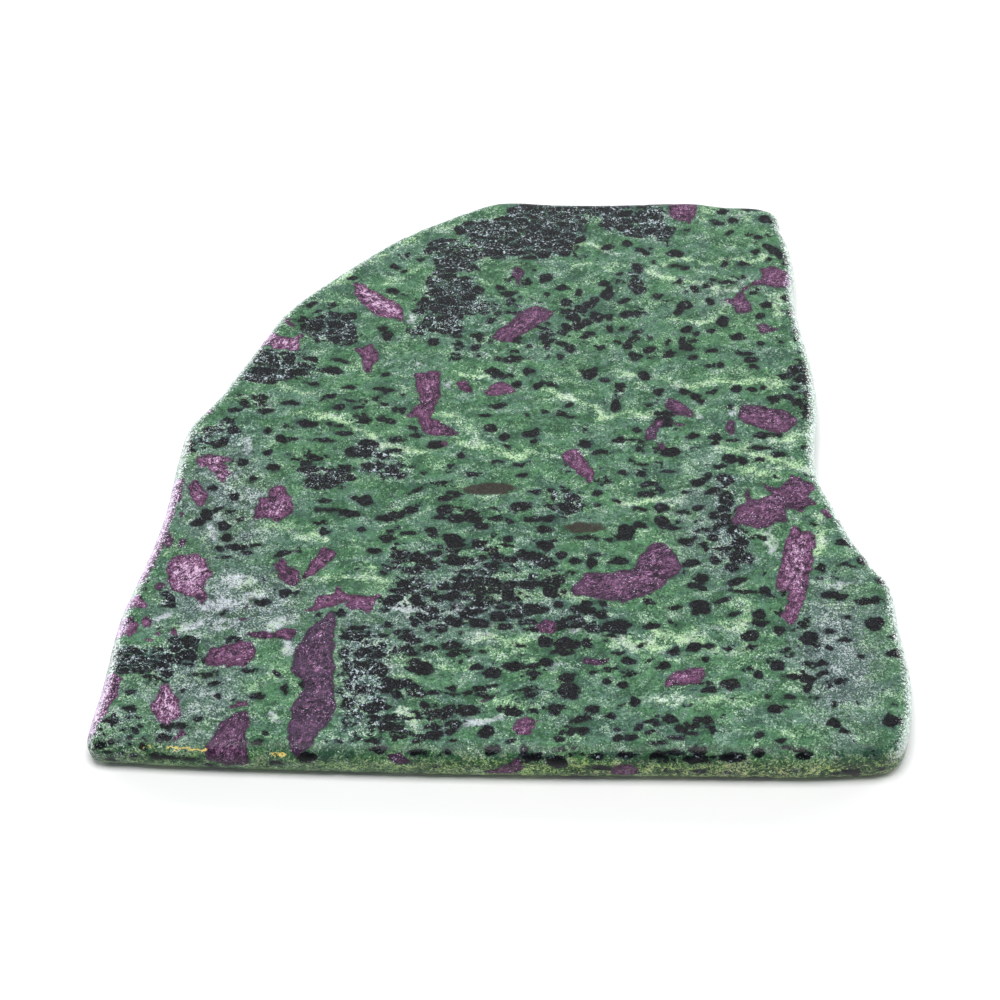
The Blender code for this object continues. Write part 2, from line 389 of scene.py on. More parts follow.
                (-56.0, -30.8), (-56.3, -32.4), (-55.7, -34.0), (-56.0, -35.6),
                (-56.2, -37.2), (-57.5, -36.0), (-58.4, -35.0), (-59.6, -35.0),
                (-60.8, -34.2), (-62.6, -33.8), (-63.3, -31.8), (-64.0, -30.0),
                (-64.2, -28.0), (-63.8, -26.5)]),
    (0.15, 0, [(-66.2, -32.0), (-65.2, -31.0), (-64.0, -31.8), (-64.6, -33.2),
               (-65.8, -33.2)]),
    (0.30, -60, [(-43.2, -27.0), (-42.3, -25.5), (-41.4, -25.8), (-40.8, -27.0),
                 (-39.6, -28.0), (-38.4, -29.3), (-38.2, -31.0), (-39.2, -32.5),
                 (-40.6, -32.7), (-41.6, -31.6), (-42.6, -30.4), (-43.3, -28.5)]),
    (0.40, 55, [(-34.3, -23.0), (-32.8, -23.3), (-31.8, -25.0), (-32.6, -26.8),
                (-34.0, -28.2), (-35.6, -30.0), (-37.2, -31.2), (-38.4, -30.6),
                (-37.6, -29.0), (-36.6, -27.0), (-35.4, -24.5)]),
    (0.40, 10, [(-37.5, -38.2), (-35.8, -37.2), (-35.0, -35.2), (-33.6, -34.8),
                (-32.0, -34.0), (-31.2, -32.4), (-30.2, -33.4), (-29.0, -34.6),
                (-26.4, -34.6), (-24.8, -35.0), (-23.2, -34.6), (-22.8, -35.2),
                (-23.6, -36.4), (-24.2, -38.0), (-24.6, -39.2), (-26.0, -38.6),
                (-28.4, -38.8), (-29.6, -36.6), (-31.0, -37.4), (-32.4, -38.0),
                (-34.2, -38.4), (-36.0, -38.8)]),
    (0.0, 75, [(-32.8, -39.0), (-31.0, -38.5), (-30.8, -41.0), (-31.2, -44.0),
                (-31.0, -47.0), (-31.4, -50.0), (-30.6, -53.0), (-31.0, -56.0),
                (-30.4, -59.0), (-30.3, -62.0), (-31.0, -64.0), (-32.5, -66.0),
                (-33.5, -68.0), (-35.0, -70.0), (-37.2, -72.2), (-38.5, -70.5),
                (-38.8, -68.0), (-39.0, -65.5), (-38.8, -63.0), (-38.3, -60.0),
                (-37.4, -58.0), (-36.0, -56.6), (-37.2, -54.6), (-38.6, -53.4),
                (-39.3, -51.3), (-39.3, -49.3), (-38.4, -47.0), (-37.0, -45.0),
                (-36.2, -43.0), (-35.0, -41.5), (-33.6, -40.2)]),
    (0.35, 30, [(-55.3, -48.8), (-54.0, -46.9), (-51.4, -46.3), (-49.5, -45.5),
                (-47.0, -45.8), (-45.6, -47.0), (-45.5, -49.2), (-46.3, -50.2),
                (-47.4, -51.6), (-49.6, -51.7), (-51.2, -52.3), (-51.4, -50.8),
                (-53.0, -51.2), (-55.0, -51.2)]),
    (0.30, 0, [(-47.8, -44.0), (-46.5, -43.2), (-44.8, -43.0), (-43.4, -43.8),
               (-42.0, -43.2), (-40.5, -42.7), (-39.0, -42.7), (-38.5, -44.0),
               (-38.9, -45.6), (-40.5, -45.6), (-42.4, -45.0), (-44.5, -45.2),
               (-46.8, -45.0)]),
    (0.95, 80, [(-62.8, -55.2), (-61.4, -55.4), (-60.3, -57.4), (-59.2, -59.0),
                (-58.8, -61.0), (-58.5, -63.0), (-60.0, -63.8), (-61.5, -64.8),
                (-63.0, -63.4), (-64.4, -61.8), (-64.4, -59.6), (-63.6, -57.5)]),
    (0.85, 70, [(-74.6, -52.2), (-71.8, -52.6), (-70.2, -54.2), (-70.4, -56.6),
                (-71.6, -59.8), (-72.8, -63.0), (-74.4, -66.8), (-79.0, -68.0),
                (-80.0, -60.0), (-79.0, -52.6)]),
    (0.45, 0, [(-49.9, -60.2), (-48.4, -59.3), (-46.7, -59.4), (-46.5, -60.6),
               (-48.0, -60.8), (-49.6, -60.9)]),
    (0.15, 65, [(-48.6, -61.8), (-47.0, -61.3), (-46.0, -62.2), (-45.8, -64.0),
                (-46.4, -66.5), (-46.2, -69.5), (-45.8, -73.3), (-50.0, -74.0),
                (-53.8, -72.0), (-54.0, -70.0), (-52.8, -67.5), (-51.8, -65.0),
                (-50.3, -63.2)]),
    (0.75, 80, [(-67.6, -40.0), (-66.6, -39.3), (-65.6, -40.4), (-65.8, -42.0),
                (-66.8, -42.3), (-67.6, -41.4)]),
    (0.40, 80, [(-62.2, -42.4), (-61.2, -41.8), (-60.4, -43.0), (-60.8, -44.4),
                (-61.8, -44.0)]),
    (0.30, 0, [(-65.0, -43.3), (-63.8, -42.8), (-63.2, -43.6), (-64.2, -44.2)]),
    (0.25, 0, [(-67.0, -45.0), (-65.8, -44.6), (-64.8, -45.4), (-66.0, -46.0)]),
    (0.55, 40, [(-60.2, -68.0), (-59.4, -66.6), (-58.0, -65.8), (-56.8, -67.0),
                (-58.0, -67.6), (-59.6, -68.4)]),
    (0.20, 0, [(-49.2, -38.0), (-48.4, -37.0), (-47.6, -37.6), (-48.6, -38.6)]),
    (0.20, 0, [(-49.4, -40.4), (-48.2, -39.9), (-47.4, -40.5), (-48.6, -41.0)]),
    (0.90, 60, [(-47.6, 34.5), (-46.6, 33.9), (-45.6, 32.9), (-44.0, 32.4), (-42.4, 32.3),
                (-41.4, 33.2), (-40.3, 33.6), (-40.4, 32.4), (-41.3, 31.4), (-41.0, 28.8),
                (-42.8, 28.8), (-44.4, 29.1), (-45.6, 29.0), (-47.0, 29.5), (-48.8, 30.2),
                (-56.0, 32.0), (-53.0, 37.0)]),
    (0.35, -50, [(-44.8, 38.4), (-43.9, 38.2), (-43.2, 36.8), (-42.0, 35.6),
                 (-43.0, 35.2), (-44.4, 36.3)]),
    (0.80, 0, [(-58.6, 12.8), (-57.8, 13.0), (-57.3, 12.2), (-58.2, 11.6), (-61.0, 13.0),
               (-61.0, 15.0)]),
    (0.45, 75, [(-61.9, -5.0), (-62.5, -9.0), (-63.4, -13.0), (-64.0, -17.0),
                (-64.6, -21.0), (-65.8, -25.0), (-66.6, -28.0), (-67.8, -31.0),
                (-74.0, -31.0), (-72.0, -20.0), (-70.0, -5.0)]),
    (0.75, 75, [(-69.4, -34.6), (-68.2, -34.4), (-67.4, -36.0), (-66.6, -37.2),
                (-68.4, -37.8), (-69.6, -37.4), (-76.0, -38.0), (-75.0, -34.0)]),
    (0.65, 75, [(-70.6, -39.6), (-69.4, -39.2), (-68.2, -41.0), (-68.2, -43.0),
                (-69.4, -44.4), (-70.8, -44.0), (-77.0, -44.0), (-76.0, -39.0)]),
]

# lens-shaped blurs of brown, iron-stained corundum: centre, half length, half width
BROWN_LENSES = [(-2.3, -8.9, 5.4, 1.5), (16.0, -18.9, 3.9, 1.4)]


def drifted(points, length, amount, seed):
    """The points moved by a smooth fixed field, so that drawn borders run irregularly."""
    moved = points.copy()
    shift_x, shift_y = Vector((seed, 0.0, 0.0)), Vector((0.0, seed, 7.0))
    for k, (x, y) in enumerate(points):
        place = Vector((x / length, y / length, 0.0))
        moved[k, 0] += amount * noise.noise(place + shift_x)
        moved[k, 1] += amount * noise.noise(place + shift_y)
    return moved


def line_gap(points, line):
    """Distance to the nearest stretch of a line drawn from point to point."""
    line = np.array(line, dtype=float)
    gap = np.full(len(points), np.inf)
    for start, end in zip(line, line[1:]):
        side = end - start
        along = np.clip(((points - start) @ side) / (side @ side), 0.0, 1.0)
        gap = np.minimum(gap, np.linalg.norm(points - start - along[:, None] * side, axis=1))
    return gap


def inside_distance(points, corners):
    """Signed distance to a closed polygon, positive inside."""
    closed = [*corners, corners[0]]
    within = np.zeros(len(points), dtype=bool)
    for start, end in zip(closed, closed[1:]):
        crosses = (start[1] > points[:, 1]) != (end[1] > points[:, 1])
        rise = end[1] - start[1] if end[1] != start[1] else 1.0
        at_x = start[0] + (points[:, 1] - start[1]) * (end[0] - start[0]) / rise
        within ^= crosses & (points[:, 0] < at_x)
    gap = line_gap(points, closed)
    return np.where(within, gap, -gap)


FAR_OUTSIDE = -6.0                       # the depth given to points away from everything
SUNK = 8.0                               # puts one face's crystals out of reach on the other


def crystals(points, shrink):
    """Depth inside the nearest crystal, its brightness and its fibre coordinates."""
    depth = np.full(len(points), FAR_OUTSIDE)
    bright = np.zeros(len(points))
    fibre = np.zeros((len(points), 3))
    for number, (brightness, angle, corners) in enumerate(RUBIES):
        box_low = np.min(corners, axis=0) + FAR_OUTSIDE
        box_high = np.max(corners, axis=0) - FAR_OUTSIDE
        near = np.all((points > box_low) & (points < box_high), axis=1).nonzero()[0]
        if not len(near):
            continue
        here = inside_distance(points[near], corners) - shrink
        better = here > depth[near]
        rows = near[better]
        depth[rows] = here[better]
        bright[rows] = brightness
        run = np.array([math.cos(math.radians(angle)), math.sin(math.radians(angle))])
        fibre[rows, 0] = points[rows] @ run
        fibre[rows, 1] = points[rows] @ np.array([-run[1], run[0]])
        fibre[rows, 2] = 10.0 * number
    return depth, bright, fibre


# a crystal leans as it goes through the slice, so the far face cuts it elsewhere and thinner
LEAN = np.array([3.1, -2.3])
FAR_FACE_SHRINK = 0.5
HAND_OVER_FROM, HAND_OVER_TO = 0.62, 0.88    # where, down the rim, one pattern gives way

down_part = past_upper / np.maximum(past_upper + past_lower, 1e-6)
down_part[flat] = is_lower[flat]
fade = np.clip((down_part - HAND_OVER_FROM) / (HAND_OVER_TO - HAND_OVER_FROM), 0.0, 1.0)

upper_drift = drifted(upper_chart, length=2.2, amount=0.5, seed=3.0)
lower_drift = drifted(lower_chart + LEAN, length=9.0, amount=3.0, seed=11.0)
near_depth, near_bright, near_fibre = crystals(upper_drift, 0.0)
far_depth, far_bright, far_fibre = crystals(lower_drift, FAR_FACE_SHRINK)
near_depth -= SUNK * fade
far_depth -= SUNK * (1.0 - fade)
from_near = near_depth > far_depth
ruby_depth = np.where(from_near, near_depth, far_depth)
ruby_bright = np.where(from_near, near_bright, far_bright)
ruby_fibre = np.where(from_near[:, None], near_fibre, far_fibre)


def ellipse_depth(points, x, y, half_length, half_width, angle=0.0):
    """Rough signed depth inside an ellipse, positive inside."""
    run = math.radians(angle)
    offset = points - np.array([x, y])
    along = offset[:, 0] * math.cos(run) + offset[:, 1] * math.sin(run)
    across = offset[:, 1] * math.cos(run) - offset[:, 0] * math.sin(run)
    out = np.sqrt((along / half_length) ** 2 + (across / half_width) ** 2)
    return (1.0 - out) * min(half_length, half_width)


brown_depth = np.max([ellipse_depth(upper_drift, *lens) for lens in BROWN_LENSES], axis=0)
brown_depth -= SUNK * fade


# ---------------------------------------------------------------------------------------------
# The hornblende
# Black amphibole, 1.5 to 4 mm grains drawn out along the rock's layering. Single grains are listed
# one by one; where they crowd together, a patch states how much of the rock they take up.
# ---------------------------------------------------------------------------------------------
GRAINS = [
    # x, y, half length, half width, angle
    (9.4, 48.6, 1.5, 1.3, 20), (-0.3, 46.0, 1.0, 0.6, -20), (6.9, 50.8, 0.5, 0.4),
    (1.9, 42.1, 0.9, 0.8), (4.0, 43.0, 0.5, 0.5), (9.4, 43.8, 0.7, 0.7),
    (13.4, 41.6, 1.2, 1.2), (16.0, 44.2, 0.8, 0.9), (14.9, 37.1, 1.5, 1.4, -45),
    (18.0, 40.6, 1.4, 1.0), (19.3, 42.0, 0.9, 0.9), (19.6, 37.4, 1.6, 1.3),
    (22.0, 37.2, 1.2, 0.8), (21.5, 46.8, 1.2, 0.9), (21.8, 43.6, 1.2, 1.6),
    (18.0, 32.4, 1.4, 0.7, 5), (12.2, 33.2, 0.8, 0.7), (8.8, 31.6, 1.1, 1.1),
    (5.5, 29.2, 0.7, 0.6), (9.4, 29.1, 0.7, 0.8), (12.4, 29.8, 1.2, 0.8, -20),
    (14.2, 28.4, 1.2, 1.0, -30), (-13.8, 30.6, 1.2, 1.0, 20), (-9.0, 32.2, 1.1, 0.7),
    (-5.2, 29.2, 1.1, 0.8), (-24.2, 34.5, 1.2, 0.8), (-23.4, 32.6, 1.2, 1.2),
    (-20.2, 50.9, 0.6, 0.5), (-22.2, 52.4, 1.2, 0.7, -30), (-17.0, 54.6, 1.0, 0.6),
    (-2.0, 36.4, 1.2, 0.7, 20), (1.4, 39.0, 0.9, 0.6), (3.4, 38.6, 0.8, 0.6, 20),
    (2.6, 25.7, 2.2, 1.0, 10), (-0.8, 25.6, 0.7, 0.5), (12.0, 26.4, 1.0, 0.7, -40),
    (-4.6, 26.8, 0.8, 0.5), (9.5, 35.4, 0.5, 0.5), (1.6, 31.4, 0.7, 0.5),
    (22.4, 57.6, 1.3, 0.7, 10), (26.6, 58.6, 1.0, 0.9), (29.4, 56.6, 1.2, 0.7, -20),
    (30.6, 55.4, 1.0, 0.6), (31.6, 56.8, 0.5, 0.4), (36.7, 55.4, 1.7, 0.9, -10),
    (32.0, 53.0, 0.5, 0.5), (36.4, 51.7, 1.3, 0.6, 15), (38.4, 51.1, 0.9, 0.5),
    (46.8, 52.2, 0.9, 0.8, 20), (47.4, 53.6, 0.6, 0.4), (50.8, 52.1, 1.2, 0.6),
    (44.4, 47.7, 0.9, 0.5, -10), (46.8, 46.9, 1.7, 0.5, -8), (42.6, 46.0, 1.1, 0.5, 25),
    (40.2, 44.8, 0.9, 0.9, 60), (36.8, 47.2, 0.9, 0.5, 20), (32.4, 43.0, 1.3, 0.6, 15),
    (37.8, 40.2, 1.8, 1.4, 30), (36.4, 38.4, 1.2, 0.8, 45), (43.3, 41.4, 0.8, 1.0),
    (25.6, 41.8, 1.3, 0.7, 20), (25.9, 37.9, 1.6, 1.1, 20), (22.4, 44.6, 1.0, 1.4),
    (24.6, 49.6, 0.8, 0.5), (45.5, 35.5, 1.6, 1.3, 35), (43.2, 33.0, 0.9, 0.6),
    (38.2, 33.6, 1.4, 1.1, 20), (39.9, 32.2, 0.7, 0.5, 20), (27.8, 32.9, 1.2, 0.6, 20),
    (25.0, 34.0, 0.9, 0.5, 20), (22.3, 33.6, 0.8, 1.0), (48.3, 31.2, 1.5, 1.0),
    (52.9, 29.3, 0.9, 0.7), (37.8, 28.5, 1.6, 1.0, -15), (37.0, 30.4, 1.0, 0.9, 45),
    (34.1, 29.8, 0.5, 0.9), (25.8, 28.8, 0.9, 0.9), (30.2, 27.8, 1.5, 0.8, 20),
    (43.0, 27.6, 1.4, 0.7, 5), (50.6, 24.8, 1.4, 0.9), (39.0, 25.6, 0.9, 0.5, 20),
    (54.6, 40.2, 1.1, 0.9, 20), (53.2, 37.0, 0.9, 0.9), (59.6, 38.0, 1.0, 1.0),
    (59.0, 42.2, 1.0, 0.9), (60.8, 33.6, 0.8, 1.0, 30), (56.0, 57.4, 0.8, 0.7),
    (53.6, 55.7, 1.1, 0.9, -30), (57.4, 56.0, 1.8, 1.1, -30), (58.8, 54.6, 1.2, 1.0),
    (56.0, 53.4, 0.6, 0.5), (59.4, 52.4, 0.9, 0.6), (54.2, 60.0, 0.9, 0.8),
    (48.3, 61.4, 0.9, 0.6, 20), (46.0, 64.4, 1.3, 0.6, 20), (47.2, 68.0, 1.1, 0.9),
    (49.2, 65.2, 1.2, 0.8), (55.8, 65.5, 1.1, 0.9), (57.4, 64.8, 0.6, 0.8),
    (53.0, 68.6, 1.6, 0.5), (27.0, 25.2, 0.8, 0.5), (50.2, 48.3, 0.7, 0.5),
    (0.2, 21.3, 0.8, 0.9), (1.9, 21.1, 0.6, 0.5), (5.6, 22.2, 1.2, 1.0),
    (18.0, 21.4, 1.8, 1.4, 30), (21.0, 19.6, 1.2, 0.7), (22.9, 12.8, 1.1, 2.0),
    (7.6, 18.5, 1.4, 0.8, 20), (10.2, 18.4, 1.2, 0.7, -30), (3.0, 18.6, 0.9, 0.9),
    (-0.6, 13.0, 1.6, 0.7, 5), (13.6, 12.9, 1.0, 0.6), (8.8, 11.3, 0.9, 0.6),
    (12.0, 10.6, 1.4, 0.6, -10), (14.2, 9.7, 1.2, 0.4), (5.0, 10.5, 0.5, 0.4),
    (-3.6, 10.2, 1.2, 0.5), (-2.0, 7.0, 1.3, 1.1, -20), (0.6, 4.6, 1.1, 1.0),
    (1.0, 2.2, 0.7, 0.6), (6.0, 5.5, 1.8, 1.0, 15), (6.4, 3.4, 1.0, 0.8),
    (16.6, 2.6, 1.3, 1.0), (19.8, 0.3, 1.8, 0.6), (-8.0, -0.1, 0.9, 0.8),
    (-13.2, 2.7, 1.7, 1.1, 10), (-10.4, -4.1, 0.6, 0.3), (-5.7, -5.0, 1.7, 0.6),
    (-15.2, -4.5, 0.8, 0.4), (-11.0, -7.3, 1.2, 0.6, 20), (-16.6, -9.0, 2.0, 0.5, 35),
    (3.8, -2.6, 1.6, 0.5, 10), (4.2, -5.5, 1.2, 0.7, 15), (-0.8, -1.8, 1.0, 0.5),
    (-24.5, -2.7, 1.1, 1.2), (-21.4, -4.0, 1.6, 1.3, -45), (-19.6, -5.2, 1.2, 0.8),
    (-26.6, -11.5, 1.6, 1.3), (-21.4, 12.2, 0.8, 0.7), (-19.9, 12.0, 0.8, 0.9),
    (-24.6, 17.8, 1.6, 0.6), (-22.5, 17.2, 1.2, 0.5, 10), (-23.4, 21.6, 1.0, 0.7),
    (-25.0, 15.2, 0.9, 0.4), (-23.4, 13.8, 0.9, 0.4), (-22.3, 9.2, 1.2, 0.8),
    (-17.6, 7.2, 1.2, 0.5, -40), (-16.8, 5.2, 1.2, 0.5), (-20.8, 4.2, 1.6, 0.7),
    (-26.5, 2.7, 2.0, 1.6), (-21.0, 1.3, 1.6, 0.8), (-17.6, -14.1, 1.3, 1.0),
    (-10.8, -14.0, 1.6, 1.2), (-22.6, -16.1, 1.8, 0.9), (-12.0, -16.0, 1.4, 0.7),
    (-8.5, -16.3, 2.0, 1.0), (-5.2, -16.5, 1.6, 0.9), (-4.0, -18.2, 1.4, 0.9),
    (3.8, -13.5, 2.2, 1.3, 10), (6.6, -9.8, 1.2, 0.7), (9.6, -9.4, 0.8, 0.6),
    (18.8, -10.2, 0.9, 0.6), (8.2, -19.2, 1.6, 0.9), (1.4, -17.0, 1.2, 0.5, -30),
    (6.0, -16.6, 1.6, 0.7), (-10.6, -11.0, 1.8, 0.8), (-13.6, -19.2, 1.2, 0.8),
    (-17.6, -19.8, 1.8, 0.5), (-21.6, -19.2, 0.8, 0.5), (-22.0, -21.2, 1.8, 1.0),
    (-9.4, -21.3, 2.0, 1.2, -15), (-4.2, -22.6, 1.6, 1.1), (1.4, -21.5, 0.9, 0.9),
    (8.4, -23.2, 1.8, 1.2), (-19.4, -24.8, 1.4, 0.9), (-24.4, -24.2, 1.4, 0.9),
    (16.2, -21.4, 2.0, 0.6), (20.8, -21.9, 1.0, 0.6), (29.0, 20.8, 1.2, 1.5, 20),
    (31.6, 16.4, 1.2, 0.9), (36.8, 16.2, 1.2, 0.8, -20), (38.8, 15.0, 1.2, 1.0),
    (39.9, 13.6, 0.8, 0.8), (29.4, 12.8, 0.8, 0.5), (42.6, 16.2, 1.2, 0.6, 25),
    (47.4, 17.0, 1.1, 0.9), (50.6, 16.6, 1.0, 0.7), (52.9, 17.2, 0.6, 0.6),
    (54.6, 14.0, 1.6, 0.9), (57.5, 14.6, 1.2, 1.0), (59.4, 13.2, 1.2, 0.9),
    (61.0, 11.8, 1.1, 0.9), (61.4, 15.6, 0.9, 1.3), (59.2, 21.8, 1.2, 1.6, -30),
    (57.4, 20.2, 1.4, 0.8), (59.0, 17.1, 1.2, 0.7), (44.6, 23.4, 0.8, 0.8),
    (51.2, 23.0, 1.0, 0.6), (32.4, 8.2, 2.0, 1.4, -20), (32.6, 10.4, 2.4, 0.7),
    (23.6, 3.6, 1.6, 0.9, 10), (25.8, 3.7, 0.7, 0.5), (27.1, 6.2, 1.0, 0.5),
    (38.0, 4.3, 1.3, 0.7, 15), (42.5, 4.0, 1.2, 0.9), (42.2, 2.4, 1.0, 0.6),
    (45.5, 3.2, 1.4, 0.6), (51.8, 4.4, 1.8, 0.8), (54.6, 4.4, 1.2, 0.5),
    (51.0, 1.2, 2.2, 0.5), (54.8, -0.7, 1.8, 0.7, -10), (33.2, 0.2, 2.2, 1.4),
    (27.2, 1.0, 0.6, 0.9), (28.0, -2.8, 1.6, 0.6), (44.8, -1.7, 1.5, 1.2),
    (47.4, -2.2, 1.0, 1.0), (50.6, -2.1, 1.3, 0.4, 10), (43.0, -3.7, 1.4, 0.5, -10),
    (24.0, -5.0, 1.0, 0.6), (32.7, -4.8, 1.4, 0.5), (25.4, -1.9, 0.6, 0.4),
    (29.0, -8.0, 1.8, 0.8, 10), (28.4, -10.6, 2.0, 0.7), (38.6, -7.6, 1.6, 0.9, 30),
    (40.6, -6.2, 1.0, 0.8), (41.4, -9.6, 1.4, 0.9), (31.0, -14.2, 1.4, 1.1),
    (38.4, -14.2, 1.4, 0.9, 25), (34.9, -15.2, 1.1, 0.5), (26.8, -18.4, 1.4, 0.8),
    (31.2, -17.4, 1.6, 1.4), (24.0, -20.0, 1.8, 1.7), (35.4, -22.4, 1.6, 1.2),
    (-31.2, 49.2, 1.1, 0.6, 15), (-39.5, 41.5, 1.2, 0.8, 30), (-33.0, 25.8, 1.6, 0.5, -15),
    (-38.0, 19.4, 1.4, 0.6, -10), (-30.8, 18.4, 1.2, 0.6, -10), (-34.6, 16.0, 1.4, 0.6, 10),
    (-32.5, 13.0, 1.2, 1.0), (-28.8, 12.9, 1.0, 0.5), (-30.4, 14.8, 1.2, 0.4, -20),
    (-42.6, 14.2, 1.8, 0.7), (-48.0, 13.8, 1.4, 0.6), (-38.6, 8.7, 2.4, 0.9, -8),
    (-34.2, 8.6, 0.8, 0.4), (-32.2, 8.0, 1.0, 0.4), (-31.0, 6.0, 1.4, 0.5),
    (-43.6, 4.6, 1.1, 1.2, 60), (-41.5, 4.6, 1.0, 0.6), (-35.0, 4.2, 2.8, 0.5, -3),
    (-46.4, 1.0, 0.8, 0.7), (-36.6, -0.4, 1.8, 0.9, -10), (-40.6, -0.8, 1.2, 0.4, -5),
    (-29.6, 1.0, 1.6, 1.3, -20), (-44.8, -2.9, 1.6, 0.8, 5), (-51.0, -1.6, 0.9, 1.0),
    (-48.6, -5.8, 1.0, 0.5, 10), (-30.8, -3.4, 1.8, 0.7), (-36.5, -7.0, 2.4, 1.6),
    (-32.5, -6.4, 1.4, 1.0), (-34.4, -11.6, 1.2, 0.5, -10), (-28.6, -10.8, 1.0, 0.7),
    (-33.6, -13.9, 3.0, 0.6, -3), (-29.4, -14.7, 2.6, 0.8, -8), (-35.6, -17.0, 1.2, 0.4, -25),
    (-34.2, -19.6, 1.0, 0.5), (-52.0, -10.2, 1.1, 0.9), (-56.6, -8.0, 1.0, 0.7, 20),
    (-55.2, -13.6, 0.9, 0.4, 30), (-57.2, -14.8, 1.1, 1.7, 35), (-58.8, -16.8, 1.3, 0.9),
    (-53.8, -17.6, 1.3, 1.1), (-50.6, -16.2, 0.8, 0.5), (-53.0, -20.6, 1.2, 0.8),
    (-51.0, -23.0, 2.0, 0.9), (-54.0, -23.2, 1.0, 0.6), (-47.0, -22.6, 1.6, 0.5),
    (-48.6, -24.4, 1.0, 0.5), (-41.8, -24.6, 1.8, 0.6, 15), (-38.8, -24.2, 0.5, 0.5),
    (-46.6, 7.0, 0.9, 1.0), (-45.2, -36.4, 1.6, 0.9), (-41.0, -34.2, 1.2, 1.0),
    (-52.6, -38.9, 0.8, 0.4, 20), (-52.4, -58.2, 0.6, 0.4), (-44.8, -58.4, 1.2, 0.8),
    (-54.4, -53.4, 1.4, 0.6, -15), (-57.0, -53.4, 0.8, 0.4), (-53.2, -55.4, 1.2, 0.5, 10),
    (-46.6, -52.5, 1.7, 0.5, -5), (-41.4, -53.2, 0.9, 0.4, -25), (-39.8, -56.8, 0.7, 1.2),
    (-68.6, -57.2, 0.8, 0.7), (-58.8, -57.0, 0.8, 0.4, 30), (-55.6, -63.2, 0.8, 0.4, 35),
    (-43.0, -66.8, 0.5, 0.4), (-44.4, -68.6, 1.0, 0.6), (-36.5, -55.6, 1.2, 0.9),
    (-33.4, -55.8, 0.7, 1.1), (-32.4, -53.4, 0.6, 0.7), (-36.2, -58.8, 0.9, 1.0),
    (-9.0, -56.9, 0.9, 0.6), (-6.4, -58.1, 1.2, 0.6, 25), (-4.0, -57.1, 1.3, 0.9),
    (-1.6, -53.4, 1.7, 1.4), (-4.6, -52.0, 1.4, 0.7), (2.4, -52.0, 2.0, 1.0),
    (6.4, -53.6, 1.4, 0.5, 10), (-14.4, -52.4, 1.8, 1.6, -20), (-16.0, -51.0, 1.4, 1.0),
    (5.2, -58.6, 1.4, 0.5, 25), (11.8, -54.8, 1.6, 1.0), (12.4, -57.8, 2.2, 1.7),
    (16.8, -53.6, 0.7, 0.5), (19.4, -55.4, 0.9, 0.9), (10.0, -62.0, 1.2, 0.8, 40),
    (5.8, -62.2, 1.0, 0.5), (14.4, -64.2, 2.0, 0.6, 15), (16.8, -62.0, 1.4, 0.9),
    (19.8, -63.6, 1.0, 0.7), (14.8, -66.8, 1.2, 0.8), (10.6, -68.4, 1.2, 0.6, -15),
    (21.0, -68.4, 1.0, 0.8), (1.8, -68.8, 0.9, 0.6), (-2.8, -66.8, 1.6, 1.3, 30),
    (12.2, -46.8, 2.4, 1.4), (11.6, -48.8, 2.2, 0.8), (8.4, -46.6, 1.2, 1.0),
    (17.0, -43.2, 1.8, 0.5), (20.8, -42.6, 1.6, 1.0), (18.4, -40.4, 1.2, 0.7),
    (15.8, -38.2, 1.2, 1.0), (11.4, -42.4, 1.1, 1.2), (37.4, -38.6, 2.0, 1.8, -30),
    (33.0, -38.6, 1.4, 0.6, 15), (41.6, -37.0, 1.8, 0.6, 15), (38.0, -31.6, 1.6, 1.2),
    (36.4, -33.4, 1.6, 0.6), (45.2, -32.2, 2.2, 0.9, 20), (49.8, -34.8, 1.0, 1.0),
    (45.8, -34.9, 2.6, 0.5, -5), (50.6, -36.0, 1.2, 0.4), (48.4, -40.4, 1.2, 1.0),
    (48.6, -42.4, 1.8, 0.7), (46.4, -45.4, 1.8, 1.2, 20), (46.4, -48.0, 1.2, 0.4, 20),
    (52.0, -44.0, 1.0, 1.0), (43.6, -40.2, 1.2, 0.5, 10), (28.2, -43.0, 1.4, 0.7),
    (32.6, -42.4, 1.0, 0.4, -30), (32.2, -48.9, 1.3, 0.8, 15), (35.8, -48.0, 1.6, 1.0, 15),
    (38.6, -47.6, 1.1, 0.7), (29.8, -52.2, 1.3, 1.0, 10), (37.6, -50.8, 1.3, 0.5),
    (42.2, -56.4, 1.6, 1.3), (51.2, -52.2, 1.2, 1.3, -40), (47.4, -54.4, 0.8, 0.8),
    (54.4, -54.9, 2.2, 0.7, -5), (59.0, -54.4, 1.6, 0.7, 30), (59.4, -51.8, 1.0, 0.8),
    (56.2, -57.6, 0.9, 1.0), (49.0, -59.4, 0.5, 0.4), (52.6, -59.6, 1.2, 0.6),
    (50.2, -62.1, 1.9, 0.7, 8), (37.0, -64.6, 2.0, 0.8), (32.8, -66.6, 1.4, 0.9, -30),
    (46.8, -68.0, 0.9, 0.7), (60.6, -65.4, 1.4, 1.1), (62.4, -67.2, 1.1, 0.6),
    (71.0, -65.0, 1.3, 1.4), (70.0, -42.8, 1.8, 1.6), (69.4, -37.4, 2.8, 0.8, 5),
    (62.6, -36.0, 2.2, 0.8, -5), (62.4, -56.0, 1.4, 0.8), (61.0, -29.2, 1.0, 1.0),
    (65.2, -28.4, 1.2, 0.4, 20), (66.8, -29.2, 0.6, 0.4), (69.0, -27.6, 1.0, 1.2),
    (72.0, -32.6, 1.0, 0.8), (64.0, -46.6, 1.4, 0.6), (61.0, -48.4, 0.7, 0.6),
    (57.6, -45.6, 1.6, 1.2), (61.4, -44.4, 1.0, 0.6), (73.0, -49.8, 1.6, 1.0),
    (73.6, -45.6, 1.2, 0.6), (65.4, -23.0, 1.3, 1.0), (60.4, -18.6, 1.0, 0.5, -30),
    # on the front
